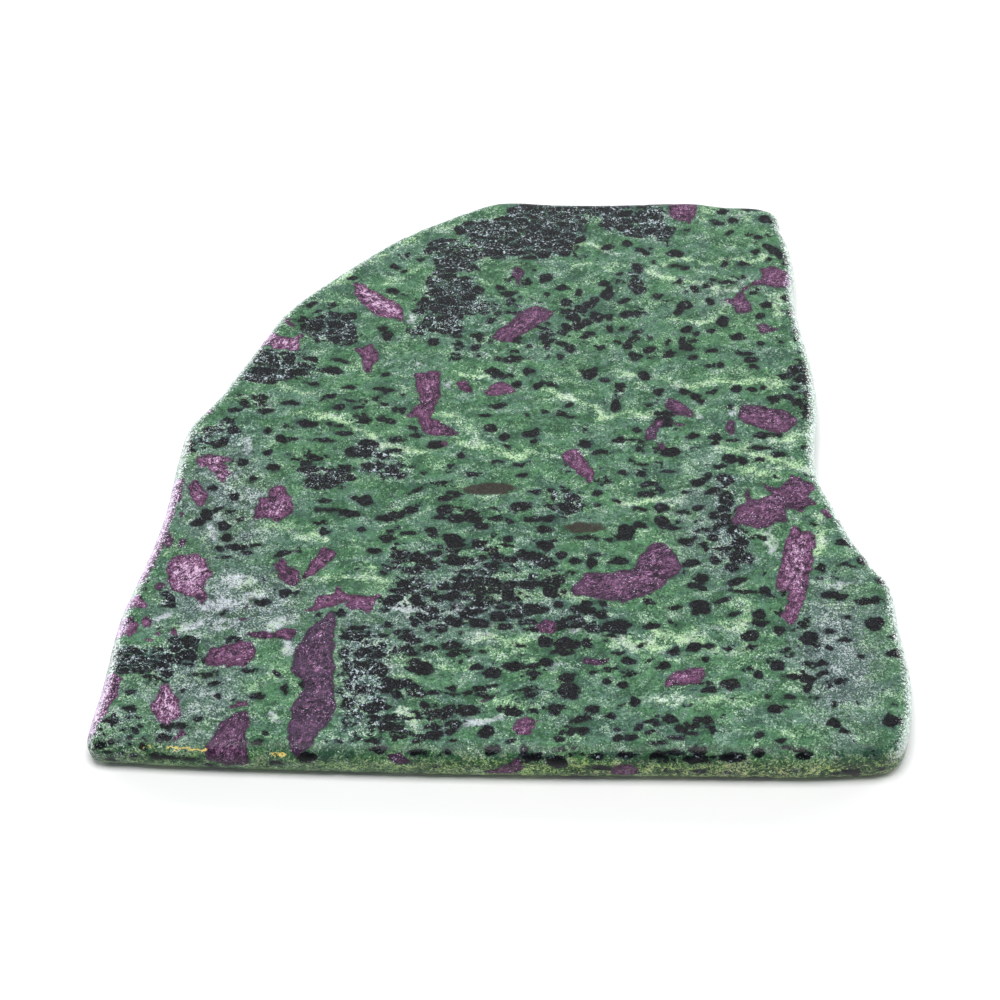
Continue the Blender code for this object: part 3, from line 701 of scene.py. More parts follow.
    (10.3, -73.3, 1.8, 1.5), (-1.7, -70.6, 1.5, 0.9), (4.3, -70.7, 0.8, 0.5),
    (17.5, -72.0, 1.6, 0.5), (22.7, -71.8, 1.6, 0.7), (28.3, -71.9, 1.9, 0.8),
    (31.4, -71.4, 1.4, 0.6), (35.3, -72.8, 2.6, 0.9), (38.2, -72.6, 1.2, 0.5),
    (41.8, -72.4, 2.0, 1.0), (46.5, -71.6, 1.1, 0.7), (54.8, -72.1, 1.5, 0.8),
    (18.0, -74.7, 2.3, 0.8), (36.1, -76.0, 1.4, 0.6), (69.8, -76.0, 1.0, 0.5),
    (71.8, -73.9, 0.6, 0.4), (-61.2, -71.4, 2.8, 0.6), (-56.7, -71.9, 1.7, 0.6),
    (-67.0, -70.8, 0.7, 0.5), (-35.5, -71.6, 1.8, 1.1), (-41.0, -73.0, 1.2, 0.6),
    (-22.4, -70.3, 1.6, 0.6), (-15.3, -70.9, 1.4, 0.6), (-9.8, -71.0, 0.8, 0.5),
    (50.6, -69.2, 1.0, 0.5, 20),
    # the middle, where they crowd
    (-17.2, -29.2, 2.0, 0.9, -10), (-21.0, -28.4, 1.4, 0.5, 10), (-22.4, -29.8, 0.9, 0.4),
    (-13.3, -28.0, 1.3, 1.1), (-6.8, -29.5, 1.9, 0.5, -5), (-1.4, -28.5, 1.4, 0.7),
    (2.8, -29.2, 0.5, 0.3), (8.4, -27.6, 2.2, 1.0), (-16.6, -31.5, 1.6, 0.7),
    (-17.2, -33.2, 1.2, 0.9), (-14.8, -33.0, 1.3, 0.9), (-11.0, -33.2, 1.0, 0.9),
    (-8.4, -33.0, 1.3, 1.2), (-6.1, -33.0, 0.8, 1.0), (-3.1, -32.0, 1.7, 1.0, 15),
    (-3.5, -34.0, 1.7, 1.0), (0.6, -33.2, 1.4, 0.9), (5.4, -33.4, 0.7, 0.9, 60),
    (8.0, -32.7, 1.4, 0.8, 15), (10.5, -33.0, 0.7, 0.7), (11.1, -30.8, 1.8, 0.4, 5),
    (13.5, -29.9, 0.7, 0.3), (11.9, -34.4, 0.8, 0.5), (-20.0, -34.0, 1.2, 0.6),
    (3.6, -34.7, 0.6, 0.3), (-6.8, -35.8, 1.2, 0.6), (-4.3, -35.8, 1.2, 0.6),
    (-12.0, -36.0, 1.2, 0.8), (-14.1, -38.3, 2.0, 0.8, -30), (-3.9, -37.2, 1.9, 0.9, -5),
    (0.3, -38.0, 1.5, 0.8), (5.7, -38.3, 1.2, 0.7), (7.9, -38.7, 1.2, 0.8),
    (10.6, -37.8, 1.0, 0.9), (14.2, -38.8, 1.2, 1.1), (14.6, -40.4, 0.5, 0.9),
    (16.2, -37.2, 1.3, 0.6), (19.2, -37.4, 0.8, 0.6), (18.6, -39.6, 1.0, 0.8),
    (-21.3, -37.0, 1.3, 0.8), (-6.5, -39.7, 1.4, 0.9), (-4.3, -41.8, 2.3, 1.2, -10),
    (-0.5, -40.4, 1.9, 1.1, 10), (3.0, -40.3, 1.0, 0.7), (-8.4, -41.1, 0.9, 0.7),
    (-12.7, -40.4, 1.0, 0.6), (0.6, -42.8, 1.4, 0.7), (5.1, -41.7, 1.8, 0.7),
    (-11.2, -43.0, 1.2, 1.1), (-13.7, -43.2, 0.8, 0.8), (-16.4, -42.0, 0.7, 0.7),
    (-17.6, -43.9, 0.9, 0.7), (-19.4, -43.7, 0.6, 0.6), (-21.4, -42.0, 0.9, 0.6),
    (-22.0, -44.7, 1.0, 0.5), (22.4, -42.5, 2.0, 1.1), (21.9, -44.2, 1.6, 0.5),
    (-7.6, -44.1, 0.5, 0.4), (7.8, -46.0, 1.0, 1.2), (-17.7, -47.4, 1.4, 0.8),
    (-13.5, -47.7, 1.8, 0.6), (-9.2, -47.0, 1.9, 1.0), (-7.3, -48.2, 1.4, 0.5),
    (-3.8, -48.7, 0.9, 0.4), (-16.6, -48.9, 1.2, 0.6), (15.8, -47.4, 0.8, 0.5),
    (19.5, -46.2, 0.6, 0.4), (-22.4, -47.0, 0.8, 0.8), (3.6, -47.0, 1.2, 0.4),
    (3.4, -49.6, 0.7, 0.3), (21.8, -49.2, 1.0, 0.5), (8.2, -51.1, 1.4, 1.0),
    (-7.4, -50.9, 0.5, 0.4), (23.6, -51.0, 1.4, 0.9), (22.4, -56.5, 0.9, 0.8),
    (-18.0, -55.8, 2.0, 1.0), (-21.0, -56.8, 1.6, 1.2), (-15.2, -58.0, 1.4, 0.9),
    (-12.8, -57.8, 1.2, 0.6), (-19.2, -58.2, 1.2, 1.0), (-1.6, -56.5, 1.0, 0.4),
    (-11.0, -62.7, 2.2, 1.1), (-9.6, -61.4, 1.2, 0.8), (-6.0, -62.0, 2.0, 1.2),
    (-14.0, -60.9, 0.8, 0.9), (-21.4, -61.0, 1.4, 0.7), (24.4, -60.2, 1.0, 1.2),
    (22.3, -61.0, 0.9, 0.3, 35), (-8.5, -65.0, 1.6, 1.0), (-12.0, -65.6, 1.0, 0.6),
    (-13.6, -65.5, 0.6, 0.5), (-21.0, -65.3, 1.8, 1.2), (-9.2, -66.7, 1.1, 0.8),
    (-12.0, -68.2, 0.5, 0.4), (-9.0, -68.7, 0.9, 0.4), (-15.4, -68.8, 0.8, 0.6),
    (21.2, -66.5, 0.6, 0.4), (23.4, -68.2, 1.2, 0.8), (25.0, -66.0, 0.9, 0.5, 45),
    (28.6, -61.2, 0.5, 0.3), (34.2, -67.5, 1.1, 0.5), (30.0, -64.5, 1.0, 0.3),
    (31.4, -68.4, 1.2, 0.5), (28.6, -69.5, 1.3, 0.5, 5), (-6.6, -26.8, 2.0, 1.0),
    (-3.6, -26.2, 1.2, 0.7), (26.0, -47.3, 0.8, 0.5, 30),
    # between the middle and the two long crystals at the right
    (15.3, -13.4, 1.4, 0.6), (18.8, -13.3, 0.6, 0.4), (22.6, -12.3, 1.0, 0.4),
    (31.0, -9.5, 1.2, 0.4), (27.2, -14.4, 1.4, 0.3), (41.0, -10.5, 1.4, 0.5),
    (36.0, -10.2, 0.8, 0.3), (36.4, -15.6, 0.6, 0.5), (31.8, -18.6, 1.1, 0.6),
    (34.0, -17.8, 0.5, 0.4), (33.7, -19.2, 1.4, 0.5), (23.6, -21.4, 1.8, 0.8),
    (37.0, -22.0, 0.8, 0.4), (41.3, -16.0, 1.2, 1.0), (41.6, -18.8, 1.3, 0.9, 30),
    (43.3, -17.8, 1.2, 0.7), (44.2, -7.2, 1.2, 1.4), (43.8, -12.0, 1.4, 1.8),
    (40.7, -21.7, 0.9, 0.9), (44.8, -19.9, 1.3, 1.6), (45.7, -23.4, 1.5, 2.0),
    (45.3, -26.5, 1.8, 1.6), (47.5, -27.2, 0.8, 1.4), (44.0, -29.0, 1.4, 1.0),
    (40.8, -27.2, 1.0, 0.8), (37.0, -27.8, 1.2, 0.8), (22.4, -27.2, 1.9, 0.9),
    (14.0, -27.2, 1.2, 0.7), (17.2, -27.6, 0.9, 1.2), (17.9, -25.6, 1.2, 0.4),
    (11.6, -25.6, 1.0, 0.9), (66.6, -50.4, 0.8, 0.5), (65.0, -41.4, 0.8, 0.4),
    (60.9, -61.4, 0.5, 0.6), (57.4, -59.6, 0.8, 0.4),
    # and here and there
    (-60.9, -65.0, 1.5, 0.8), (-29.4, -48.4, 1.0, 1.5), (-28.6, -51.6, 0.9, 1.2),
    (-68.4, -61.0, 1.3, 0.8), (-22.6, 45.4, 1.4, 0.8), (27.6, 47.0, 1.1, 1.8),
    (28.6, 51.0, 1.0, 1.6), (28.0, 44.6, 0.9, 0.9), (-4.8, 45.4, 1.2, 1.2),
    (-6.0, 51.6, 1.6, 0.9), (-23.4, 0.0, 1.4, 0.9), (22.4, 64.2, 1.6, 1.4),
    (-47.4, 12.2, 1.4, 0.8), (-57.9, 7.2, 1.6, 1.0), (6.0, -43.4, 1.6, 0.6),
    (-12.6, -25.0, 1.6, 0.8), (-58.2, -64.6, 1.0, 0.7), (-61.4, -67.4, 1.5, 0.7),
    (20.4, -45.0, 1.2, 0.5), (-13.8, -34.6, 1.4, 0.8), (-28.2, -60.0, 1.3, 1.4),
    (-3.0, -58.8, 1.6, 0.6),
    # small ones in the front left corner
    (-72.6, -66.4, 0.7, 0.5), (-70.8, -68.0, 0.6, 0.5, 20), (-69.0, -65.6, 0.7, 0.4),
    (-67.6, -67.4, 0.6, 0.6), (-71.8, -70.0, 0.8, 0.4), (-69.4, -70.2, 0.5, 0.5),
    (-66.0, -65.0, 0.5, 0.4), (-65.2, -69.0, 0.7, 0.5, -20), (-73.8, -68.6, 0.6, 0.5),
    (-70.6, -63.6, 0.5, 0.4), (-68.2, -62.8, 0.5, 0.5), (-63.4, -70.6, 0.8, 0.4),
]

CROWDED = [
    # share of the rock, outline of the patch
    (0.97, [(-8.0, 66.0), (-4.0, 67.0), (1.5, 68.0), (3.0, 70.0), (4.0, 74.0), (34.0, 74.0),
            (35.0, 66.0), (36.0, 62.5), (34.0, 59.0), (31.0, 60.5), (27.0, 61.0),
            (23.0, 63.0), (19.0, 66.0), (17.5, 64.5), (17.0, 60.0), (15.0, 57.0),
            (14.0, 55.3), (10.0, 54.8), (8.0, 53.5), (6.0, 55.0), (2.0, 54.8),
            (-4.0, 54.6), (-5.0, 52.0), (-8.0, 60.5), (-9.0, 63.0)]),
    (0.98, [(-14.5, 60.0), (-8.0, 60.5), (-4.0, 57.0), (-5.0, 52.0), (-8.0, 50.6),
            (-9.0, 50.0), (-5.5, 48.6), (-5.0, 45.0), (-3.0, 43.0), (-3.5, 38.5),
            (-8.0, 38.5), (-8.0, 34.0), (-9.0, 32.0), (-13.0, 33.0), (-18.0, 32.0),
            (-19.0, 34.0), (-17.0, 37.0), (-18.0, 40.0), (-15.0, 43.0), (-15.5, 47.0),
            (-15.0, 50.0), (-14.0, 53.0), (-16.0, 57.0)]),
    (0.98, [(-41.0, 37.5), (-36.0, 39.5), (-31.0, 38.6), (-29.4, 34.0), (-29.6, 31.0),
            (-33.0, 29.4), (-35.0, 31.0), (-38.0, 31.0), (-41.0, 34.0)]),
    (0.86, [(-51.0, 29.4), (-48.0, 29.0), (-41.0, 28.5), (-40.5, 26.0), (-38.0, 25.5),
            (-36.0, 24.0), (-38.0, 20.6), (-41.0, 21.0), (-47.0, 20.0), (-52.0, 20.0),
            (-56.0, 24.0)]),
    (0.75, [(-66.0, 8.5), (-62.0, 8.0), (-58.0, 8.5), (-55.0, 10.2), (-53.0, 8.5),
            (-51.0, 6.0), (-51.0, 2.0), (-56.0, 2.5), (-60.0, 0.5), (-62.5, 1.0),
            (-68.0, 1.0)]),
    (0.60, [(-53.5, 17.0), (-47.0, 17.5), (-46.0, 13.0), (-47.0, 10.5), (-50.0, 12.0),
            (-54.5, 12.8)]),
    (0.60, [(-40.0, -3.0), (-30.0, -2.5), (-28.0, -6.0), (-33.0, -9.0), (-39.0, -9.5)]),
    (0.60, [(-30.0, 5.0), (-20.0, 5.0), (-18.0, -1.0), (-17.0, -6.0), (-22.0, -7.0),
            (-28.0, -5.0)]),
    (0.50, [(-19.0, -23.0), (-10.0, -21.5), (0.0, -23.0), (8.0, -25.0), (13.0, -27.0),
            (13.0, -33.0), (12.0, -37.0), (16.0, -40.0), (22.0, -41.0), (20.0, -44.0),
            (12.0, -44.0), (6.0, -42.0), (-2.0, -42.6), (-8.0, -43.0), (-14.0, -43.0),
            (-20.0, -42.0), (-23.0, -40.0), (-22.0, -36.0), (-20.0, -33.0),
            (-20.0, -30.0), (-24.0, -29.0), (-23.0, -26.5)]),
    (0.72, [(-30.0, -43.0), (-23.0, -42.0), (-19.6, -46.0), (-20.0, -53.0), (-21.0, -60.0),
            (-22.0, -68.0), (-29.0, -70.0), (-30.0, -62.0), (-30.0, -52.0)]),
    (0.42, [(-20.0, -42.0), (-8.0, -43.0), (-6.0, -49.0), (-14.0, -49.5), (-17.0, -54.0),
            (-11.0, -57.5), (-4.0, -60.0), (-5.0, -65.0), (-9.0, -69.0), (-20.0, -69.0)]),
    (0.30, [(-14.0, -10.0), (0.0, -11.5), (12.0, -9.0), (20.0, -12.0), (22.0, -20.0),
            (10.0, -24.0), (-10.0, -21.0), (-26.0, -18.0), (-24.0, -13.0)]),
    (0.92, [(10.4, -9.4), (15.0, -10.0), (16.5, -14.0), (13.0, -16.4), (10.2, -15.0)]),
    (0.66, [(42.4, -5.0), (46.5, -6.0), (46.8, -12.0), (44.0, -18.0), (47.6, -21.0),
            (48.6, -28.0), (44.0, -31.0), (40.0, -27.0), (40.5, -20.0), (41.0, -12.0)]),
    (0.36, [(34.0, -16.0), (42.0, -14.0), (42.0, -26.0), (36.0, -30.0), (34.6, -24.0)]),
    (0.85, [(27.4, 54.0), (29.6, 52.0), (30.6, 45.0), (28.4, 43.6), (26.4, 46.0),
            (26.6, 50.0)]),
    (0.90, [(-75.0, -44.0), (-70.0, -46.0), (-66.0, -46.8), (-62.0, -44.0),
            (-58.0, -43.5), (-56.0, -45.0), (-55.5, -49.0), (-56.0, -51.0),
            (-59.0, -52.5), (-61.5, -54.5), (-64.5, -52.6), (-68.0, -53.3),
            (-71.5, -51.5), (-78.0, -51.0)]),
    (0.52, [(-76.0, -62.0), (-70.0, -59.6), (-65.4, -62.0), (-65.4, -70.4), (-70.0, -73.0),
            (-78.0, -73.0)]),
    (0.80, [(-65.6, -34.0), (-63.0, -34.6), (-61.0, -35.6), (-61.6, -37.4),
            (-65.0, -36.6)]),
    (0.25, [(55.0, -43.0), (62.0, -41.0), (67.0, -44.0), (66.0, -49.0), (57.0, -50.0)]),
    (0.50, [(59.0, 24.0), (63.0, 25.0), (66.0, 10.0), (60.0, 11.0), (57.0, 14.0)]),
    (0.18, [(24.0, -36.0), (44.0, -34.0), (54.0, -40.0), (50.0, -50.0), (26.0, -52.0)]),
    (0.22, [(40.0, 6.0), (62.0, 6.0), (62.0, -4.0), (40.0, -4.0), (26.0, -8.0),
            (24.0, 2.0)]),
    (0.22, [(24.0, -62.0), (44.0, -62.0), (50.0, -70.0), (24.0, -70.0)]),
    (0.32, [(-12.0, 44.0), (18.0, 44.0), (20.0, 24.0), (-10.0, 24.0)]),
    (0.20, [(-6.0, -50.0), (24.0, -50.0), (24.0, -70.0), (-6.0, -70.0)]),
    (0.32, [(-30.0, -70.2), (60.0, -70.6), (60.0, -73.4), (-30.0, -72.6)]),
    (0.34, [(14.0, -71.0), (52.0, -71.4), (56.0, -73.4), (40.0, -74.6), (16.0, -74.0)]),
    (0.24, [(-60.0, -74.4), (66.0, -75.0), (66.0, -79.0), (-60.0, -78.4)]),
    (0.35, [(30.0, 66.0), (52.0, 68.6), (52.0, 72.0), (44.0, 72.0), (43.0, 66.0)]),
]
LOOSE_SHARE = 0.13                       # away from the patches
PATCH_BLUR = 2.4

# the far face is cut through other grains: the same list seen turned over and shifted
TURNED_OVER = np.array([[-1.0, 0.0], [0.0, 1.0]])
TURNED_SHIFT = np.array([4.0, -6.0])
GRAIN_REACH = 7.0                        # a grain further off than this is skipped


def grain_field(points):
    """Depth inside the nearest single grain."""
    depth = np.full(len(points), FAR_OUTSIDE)
    for grain in GRAINS:
        near = np.all(np.abs(points - np.array(grain[:2])) < GRAIN_REACH, axis=1).nonzero()[0]
        if len(near):
            depth[near] = np.maximum(depth[near], ellipse_depth(points[near], *grain))
    return depth


def crowding(points):
    """The share of the rock that packed grains take up, with soft borders."""
    share = np.full(len(points), LOOSE_SHARE)
    for amount, corners in CROWDED:
        edge = inside_distance(points, corners)
        soft = np.clip(0.5 + edge / (2 * PATCH_BLUR), 0.0, 1.0)
        share = np.maximum(share, amount * soft * soft * (3 - 2 * soft))
    return share


def both_faces(field_of, *more):
    """The field as the upper face has it, fading down the rim into the lower face's own."""
    return (1.0 - fade) * field_of(upper_drift, *more) + fade * field_of(lower_drift, *more)


turned_chart = lower_chart @ TURNED_OVER + TURNED_SHIFT
near_grains = grain_field(drifted(upper_chart, length=1.6, amount=0.55, seed=21.0))
far_grains = grain_field(drifted(turned_chart, length=1.6, amount=0.55, seed=31.0))
near_grains += FAR_OUTSIDE * fade
far_grains += FAR_OUTSIDE * (1.0 - fade)
grain_depth = np.maximum(near_grains, far_grains)
crowd_share = both_faces(crowding)


# ---------------------------------------------------------------------------------------------
# The zoisite's pale seams and the feldspar
# Sugary yellow-green seams follow the layering in waves; grey-white feldspar fills a few gaps, and
# two areas are clouded with grey.
# ---------------------------------------------------------------------------------------------
SEAMS = [
    # strength, half width, the line that the seam follows
    (1.0, 0.8, [(-42, 10.6), (-38, 11.4), (-35, 10.8), (-32, 9.0), (-29, 7.4), (-27, 5.6),
                (-22, 3.2), (-18, 1.0), (-14, 0.2)]),
    (0.9, 0.6, [(-10.4, 22.6), (-8, 21.5), (-5, 20.5), (-2, 20.3)]),
    (1.0, 0.9, [(-9, 4.5), (-6, 3.4), (-3, 2.2), (0, 0.6), (4, -0.4), (10, -0.6),
                (12, -0.8)]),
    (1.0, 0.9, [(9, 17), (12, 15.5), (15, 14), (18, 12.5), (20, 10.4), (24, 9.6),
                (28, 10.6), (31, 11)]),
    (0.8, 1.0, [(-13, 12), (-9, 10.6), (-8, 8), (-6, 6), (-4, 3)]),
    (0.8, 1.1, [(25, 21.4), (28, 20.8), (31, 20.4), (36, 18), (42, 18.6), (47, 19.4),
                (52, 18), (57, 19)]),
    (1.0, 0.8, [(30, 50.6), (34, 48.6), (38, 47), (41, 46.2), (45, 45)]),
    (0.9, 0.8, [(33, 52.8), (38, 54), (43, 52.6), (50, 53.4), (55, 54)]),
    (0.9, 0.6, [(15, 59), (18, 58.6), (21, 57), (24, 55.4)]),
    (0.7, 0.7, [(15, 53), (19, 52), (23, 50.6)]),
    (0.9, 0.7, [(35, 37), (39, 35.8), (41.5, 35), (44, 37), (48, 36.6)]),
    (1.0, 1.6, [(43, 1), (47.8, 0.2), (52, -1.6), (57, -3.4), (61, -4)]),
    (1.0, 1.6, [(54, 3), (58, 4), (62, 5)]),
    (0.9, 1.6, [(48, -5), (54, -4.6), (58, -4.2)]),
    (0.9, 1.2, [(23, -12.6), (28, -12), (33, -12.4), (36, -11)]),
    (0.8, 0.8, [(-46, 19.8), (-43, 18.6), (-40, 17), (-37, 16.6)]),
    (0.8, 1.0, [(-45, -17.6), (-42, -19), (-39, -21), (-34, -21)]),
    (0.7, 0.8, [(-24, -17.6), (-18, -17), (-14, -13.6)]),
    (0.8, 0.7, [(-14.5, -50), (-12, -51.4), (-9, -52.4), (-6, -52)]),
    (0.9, 1.9, [(-6, -45.2), (-2, -46), (2, -46.4), (5, -45.6)]),
    (0.7, 1.6, [(-33, -30.6), (-28, -31), (-25, -30), (-23, -32)]),
    (1.0, 1.9, [(30, -45.2), (34, -45.6), (38, -45.8)]),
    (1.0, 2.0, [(20, -46.2), (24, -46.8), (29, -47.8)]),
    (0.9, 1.5, [(-18, -62), (-16.8, -63.6), (-15.6, -64.8)]),
    (0.6, 1.0, [(24, -60.4), (30, -59.6), (38, -60), (46, -60.8)]),
    (0.6, 1.2, [(-40, -52), (-44, -55), (-52, -59), (-57, -60)]),
    (0.5, 1.2, [(50, -66.4), (54, -67.4), (58, -67.4)]),
    (0.5, 1.5, [(-30, -74.6), (0, -75), (30, -74.8), (60, -74.6)]),
    (0.5, 1.4, [(43, 66), (44, 69), (48, 66.6), (52, 67.4), (55, 62)]),
    (0.8, 1.4, [(57, 44), (57, 40), (57, 36)]),
    (0.5, 1.2, [(-24, 48), (-21, 49), (-19, 52)]),
    (0.7, 1.0, [(-10, 65), (-15, 62.6), (-19, 60.4), (-26, 55), (-32, 49.6), (-36, 46)]),
    (1.0, 1.6, [(62, -17), (61, -22), (60.6, -26)]),
    (0.9, 1.3, [(-1, -35.4), (3, -35), (8, -34.8), (12, -35.8), (14.6, -35.4)]),
    (0.8, 0.9, [(-12.6, -31), (-9.6, -31.2), (-6.8, -31.4)]),
    (0.4, 1.2, [(-1, -48.6), (2, -49.2), (5, -49.6)]),
    (0.7, 2.2, [(41, -43.4), (46, -42.4)]), (0.8, 1.4, [(39.6, -48.6), (43, -48.8), (46, -49)]),
    (0.6, 1.6, [(0, -61), (4, -60.4), (8, -59.4)]), (0.5, 1.4, [(-11, 28), (-7, 28)]),
    (0.7, 0.8, [(-20, -53.4), (-17.6, -54.4), (-15.4, -55)]),
]

GREY_PATCHES = [
    # strength, x, y, half length, half width, angle
    (1.0, -50.0, -31.3, 3.4, 1.8, 0), (0.9, -46.6, -34.6, 3.4, 1.1, 30),
    (0.8, -53.6, -37.0, 3.6, 1.8, 10), (0.8, -58.6, -42.2, 3.2, 1.1, 25),
    (0.9, -39.9, -47.4, 1.2, 1.8, 0), (0.9, -42.0, -41.6, 3.2, 1.2, 30),
    (0.8, -56.1, -18.6, 0.8, 2.5, 15), (0.6, -50.4, 3.0, 1.3, 2.6, 0),
    (0.9, -18.2, -37.8, 3.2, 1.4, -15), (0.8, -8.4, -38.0, 1.3, 1.0, 0),
    (0.7, 13.8, -43.6, 1.9, 1.0, 20), (1.0, -4.0, -64.6, 3.4, 0.8, 8),
    (0.9, -0.2, -63.3, 1.1, 0.6, 40), (0.6, 51.6, -22.6, 1.6, 3.4, 15),
    (0.7, -18.4, 37.6, 0.9, 1.8, 0), (0.6, 46.0, 10.4, 1.0, 0.8, 0),
    (0.6, 39.6, 9.8, 1.0, 0.9, 0), (0.6, 47.6, 44.4, 2.2, 1.0, 0),
    (0.6, -10.6, 18.8, 0.9, 1.2, 0), (0.5, -55.6, -65.8, 1.0, 0.8, 0),
    (0.5, -41.6, -63.4, 1.2, 2.2, 20), (0.6, 10.4, -51.0, 0.8, 1.4, -30),
    (0.7, -12.8, -62.0, 0.6, 1.4, -30), (0.6, -20.4, -51.6, 0.6, 2.0, 0),
    (0.5, -52.0, -41.8, 3.2, 1.6, 10), (0.6, 64.4, -33.8, 2.4, 1.2, 0),
    (0.8, -63.4, -39.6, 1.8, 0.9, 20), (0.5, -16.6, 24.8, 1.4, 1.0, 0),
]
CLOUDS = [
    # strength, x, y, half length, half width, angle
    (0.55, -53.0, -12.0, 9.0, 14.0, 10), (0.60, -50.0, -37.0, 13.0, 8.0, 0),
    (0.60, 63.0, -50.0, 7.5, 16.0, 0), (0.45, -57.0, -58.0, 10.0, 9.0, 0),
    (0.40, -10.0, -38.0, 16.0, 7.0, 0), (0.35, -25.0, -48.0, 9.0, 12.0, 0),
    (0.35, 40.0, -20.0, 6.0, 12.0, 0), (0.30, 45.0, 43.0, 6.0, 4.0, 0),
]


SEAM_FALL = 0.65                         # how fast a seam thins out, against its half width
PATCH_SOFTNESS, CLOUD_SOFTNESS = 1.2, 8.0


def seam_field(points):
    """How strongly each point lies in a seam."""
    field = np.zeros(len(points))
    points = drifted(points, length=4.5, amount=1.7, seed=41.0)
    for strength, half_width, line in SEAMS:
        gap = line_gap(points, line)
        field = np.maximum(field, strength * np.exp(-0.5 * (gap / (SEAM_FALL * half_width)) ** 2))
    return field


def patch_field(points, patches, softness):
    """How strongly each point lies in one of the ellipses."""
    field = np.zeros(len(points))
    for strength, *shape in patches:
        depth = ellipse_depth(points, *shape)
        field = np.maximum(field, strength * np.clip(0.5 + depth / softness, 0.0, 1.0))
    return field


seam = both_faces(seam_field)
feldspar = both_faces(patch_field, GREY_PATCHES, PATCH_SOFTNESS)
cloud = both_faces(patch_field, CLOUDS, CLOUD_SOFTNESS)

# the slab as one closed mesh that carries all this as its own attributes
slab_mesh = bpy.data.meshes.new("polished_slab")
slab_mesh.vertices.add(len(surface))
slab_mesh.vertices.foreach_set("co", (surface * MM).ravel())
slab_mesh.loops.add(triangles.size)
slab_mesh.loops.foreach_set("vertex_index", triangles.ravel().astype(np.int32))
slab_mesh.polygons.add(len(triangles))
slab_mesh.polygons.foreach_set("loop_start", np.arange(0, triangles.size, 3, dtype=np.int32))
slab_mesh.update(calc_edges=True)
slab_mesh.validate()
slab_mesh.shade_smooth()

for name, values in (
    ("ruby_depth", ruby_depth), ("ruby_bright", ruby_bright), ("grain_depth", grain_depth),
    ("crowding", crowd_share), ("seam", seam), ("feldspar", feldspar), ("cloud", cloud),
    ("brown_depth", brown_depth), ("rim_bruise_glare", rim_bruise_glare), ("olive", olive),
):
    layer = slab_mesh.attributes.new(name, "FLOAT", "POINT")
    layer.data.foreach_set("value", values.astype(np.float32))
fibre_layer = slab_mesh.attributes.new("fibre", "FLOAT_VECTOR", "POINT")
fibre_layer.data.foreach_set("vector", ruby_fibre.ravel().astype(np.float32))

# both faces with their rims laid out side by side, for a map of the whole surface
SHEET_SIZE = 236.0
SHEET_MARGIN = 6.0
LOWER_SCALE = 0.52
upper_uv = (upper_chart - (low[:2] - SHEET_MARGIN)) / SHEET_SIZE
lower_uv = (high[:2] + SHEET_MARGIN - lower_chart * np.array([-1.0, 1.0])) * LOWER_SCALE
lower_uv = 1.0 - lower_uv / SHEET_SIZE
sheet = slab_mesh.uv_layers.new(name="OFBake")
corner_vertex = np.empty(len(slab_mesh.loops), dtype=np.int32)
slab_mesh.loops.foreach_get("vertex_index", corner_vertex)
by_triangle = is_lower[corner_vertex].reshape(-1, 3).all(axis=1).repeat(3)
corner_uv = np.where(by_triangle[:, None], lower_uv[corner_vertex], upper_uv[corner_vertex])
sheet.data.foreach_set("uv", corner_uv.ravel().astype(np.float32))

polished_slab = bpy.data.objects.new("polished_slab", slab_mesh)
bpy.context.scene.collection.objects.link(polished_slab)


# ---------------------------------------------------------------------------------------------
# The rock's finish
# A satin polish over green zoisite, black hornblende and ruby. Each mineral takes its own colour,
# fine grain and gloss, and the borders between them are frayed at the size of single grains.
# ---------------------------------------------------------------------------------------------
class Wire:
    """A shader socket that can stand in a formula."""

    tree = None

    def __init__(self, socket):
        self.socket = socket

    @classmethod
    def node(cls, kind, settings=None, sockets=None, out=0):
        """Any node: its type, its settings, its socket values or links, and the output wanted."""
        made = cls.tree.nodes.new(kind)
        for name, value in (settings or {}).items():
            setattr(made, name, value)
        for name, value in (sockets or {}).items():
            if isinstance(value, Wire):
                cls.tree.links.new(value.socket, made.inputs[name])
            else:
                made.inputs[name].default_value = value
        return cls(made.outputs[out])

    def maths(self, operation, *others):
        return Wire.node(
            "ShaderNodeMath", {"operation": operation}, dict(enumerate((self, *others)))
        )

    def __add__(self, other):
        return self.maths("ADD", other)

    __radd__ = __add__

    def __mul__(self, other):
        return self.maths("MULTIPLY", other)

    __rmul__ = __mul__

    def __sub__(self, other):
        return self.maths("SUBTRACT", other)

    def __rsub__(self, other):
        return (self * -1.0).maths("ADD", other)

    def at_least(self, other):
        return self.maths("MAXIMUM", other)

    def at_most(self, other):
        return self.maths("MINIMUM", other)

    def step(self, low, high):
        """0 below low, 1 above high, smooth between; low may lie above high."""
        return Wire.node(
            "ShaderNodeMapRange", {"interpolation_type": "SMOOTHSTEP"},
            {"Value": self, "From Min": low, "From Max": high},
        )

    def scaled(self, x, y, z):
        """A vector stretched along its axes."""
        return Wire.node("ShaderNodeVectorMath", {"operation": "MULTIPLY"}, {0: self, 1: (x, y, z)})

    def moved(self, other):
        return Wire.node("ShaderNodeVectorMath", {"operation": "ADD"}, {0: self, 1: other})


def tint(share, first, second, blend="MIX"):
    """Colour mix from first to second by share."""
    def full(colour):
        return colour if isinstance(colour, Wire) else (*colour, 1.0)
    return Wire.node(
        "ShaderNodeMix", {"data_type": "RGBA", "blend_type": blend},
        {0: share, 6: full(first), 7: full(second)}, out=2,
    )


def srgb(red, green, blue):
    """Linear colour from 0 to 255 display values."""
    def linear(value):
        value /= 255.0
        return value / 12.92 if value <= 0.04045 else ((value + 0.055) / 1.055) ** 2.4
    return tuple(linear(value) for value in (red, green, blue))


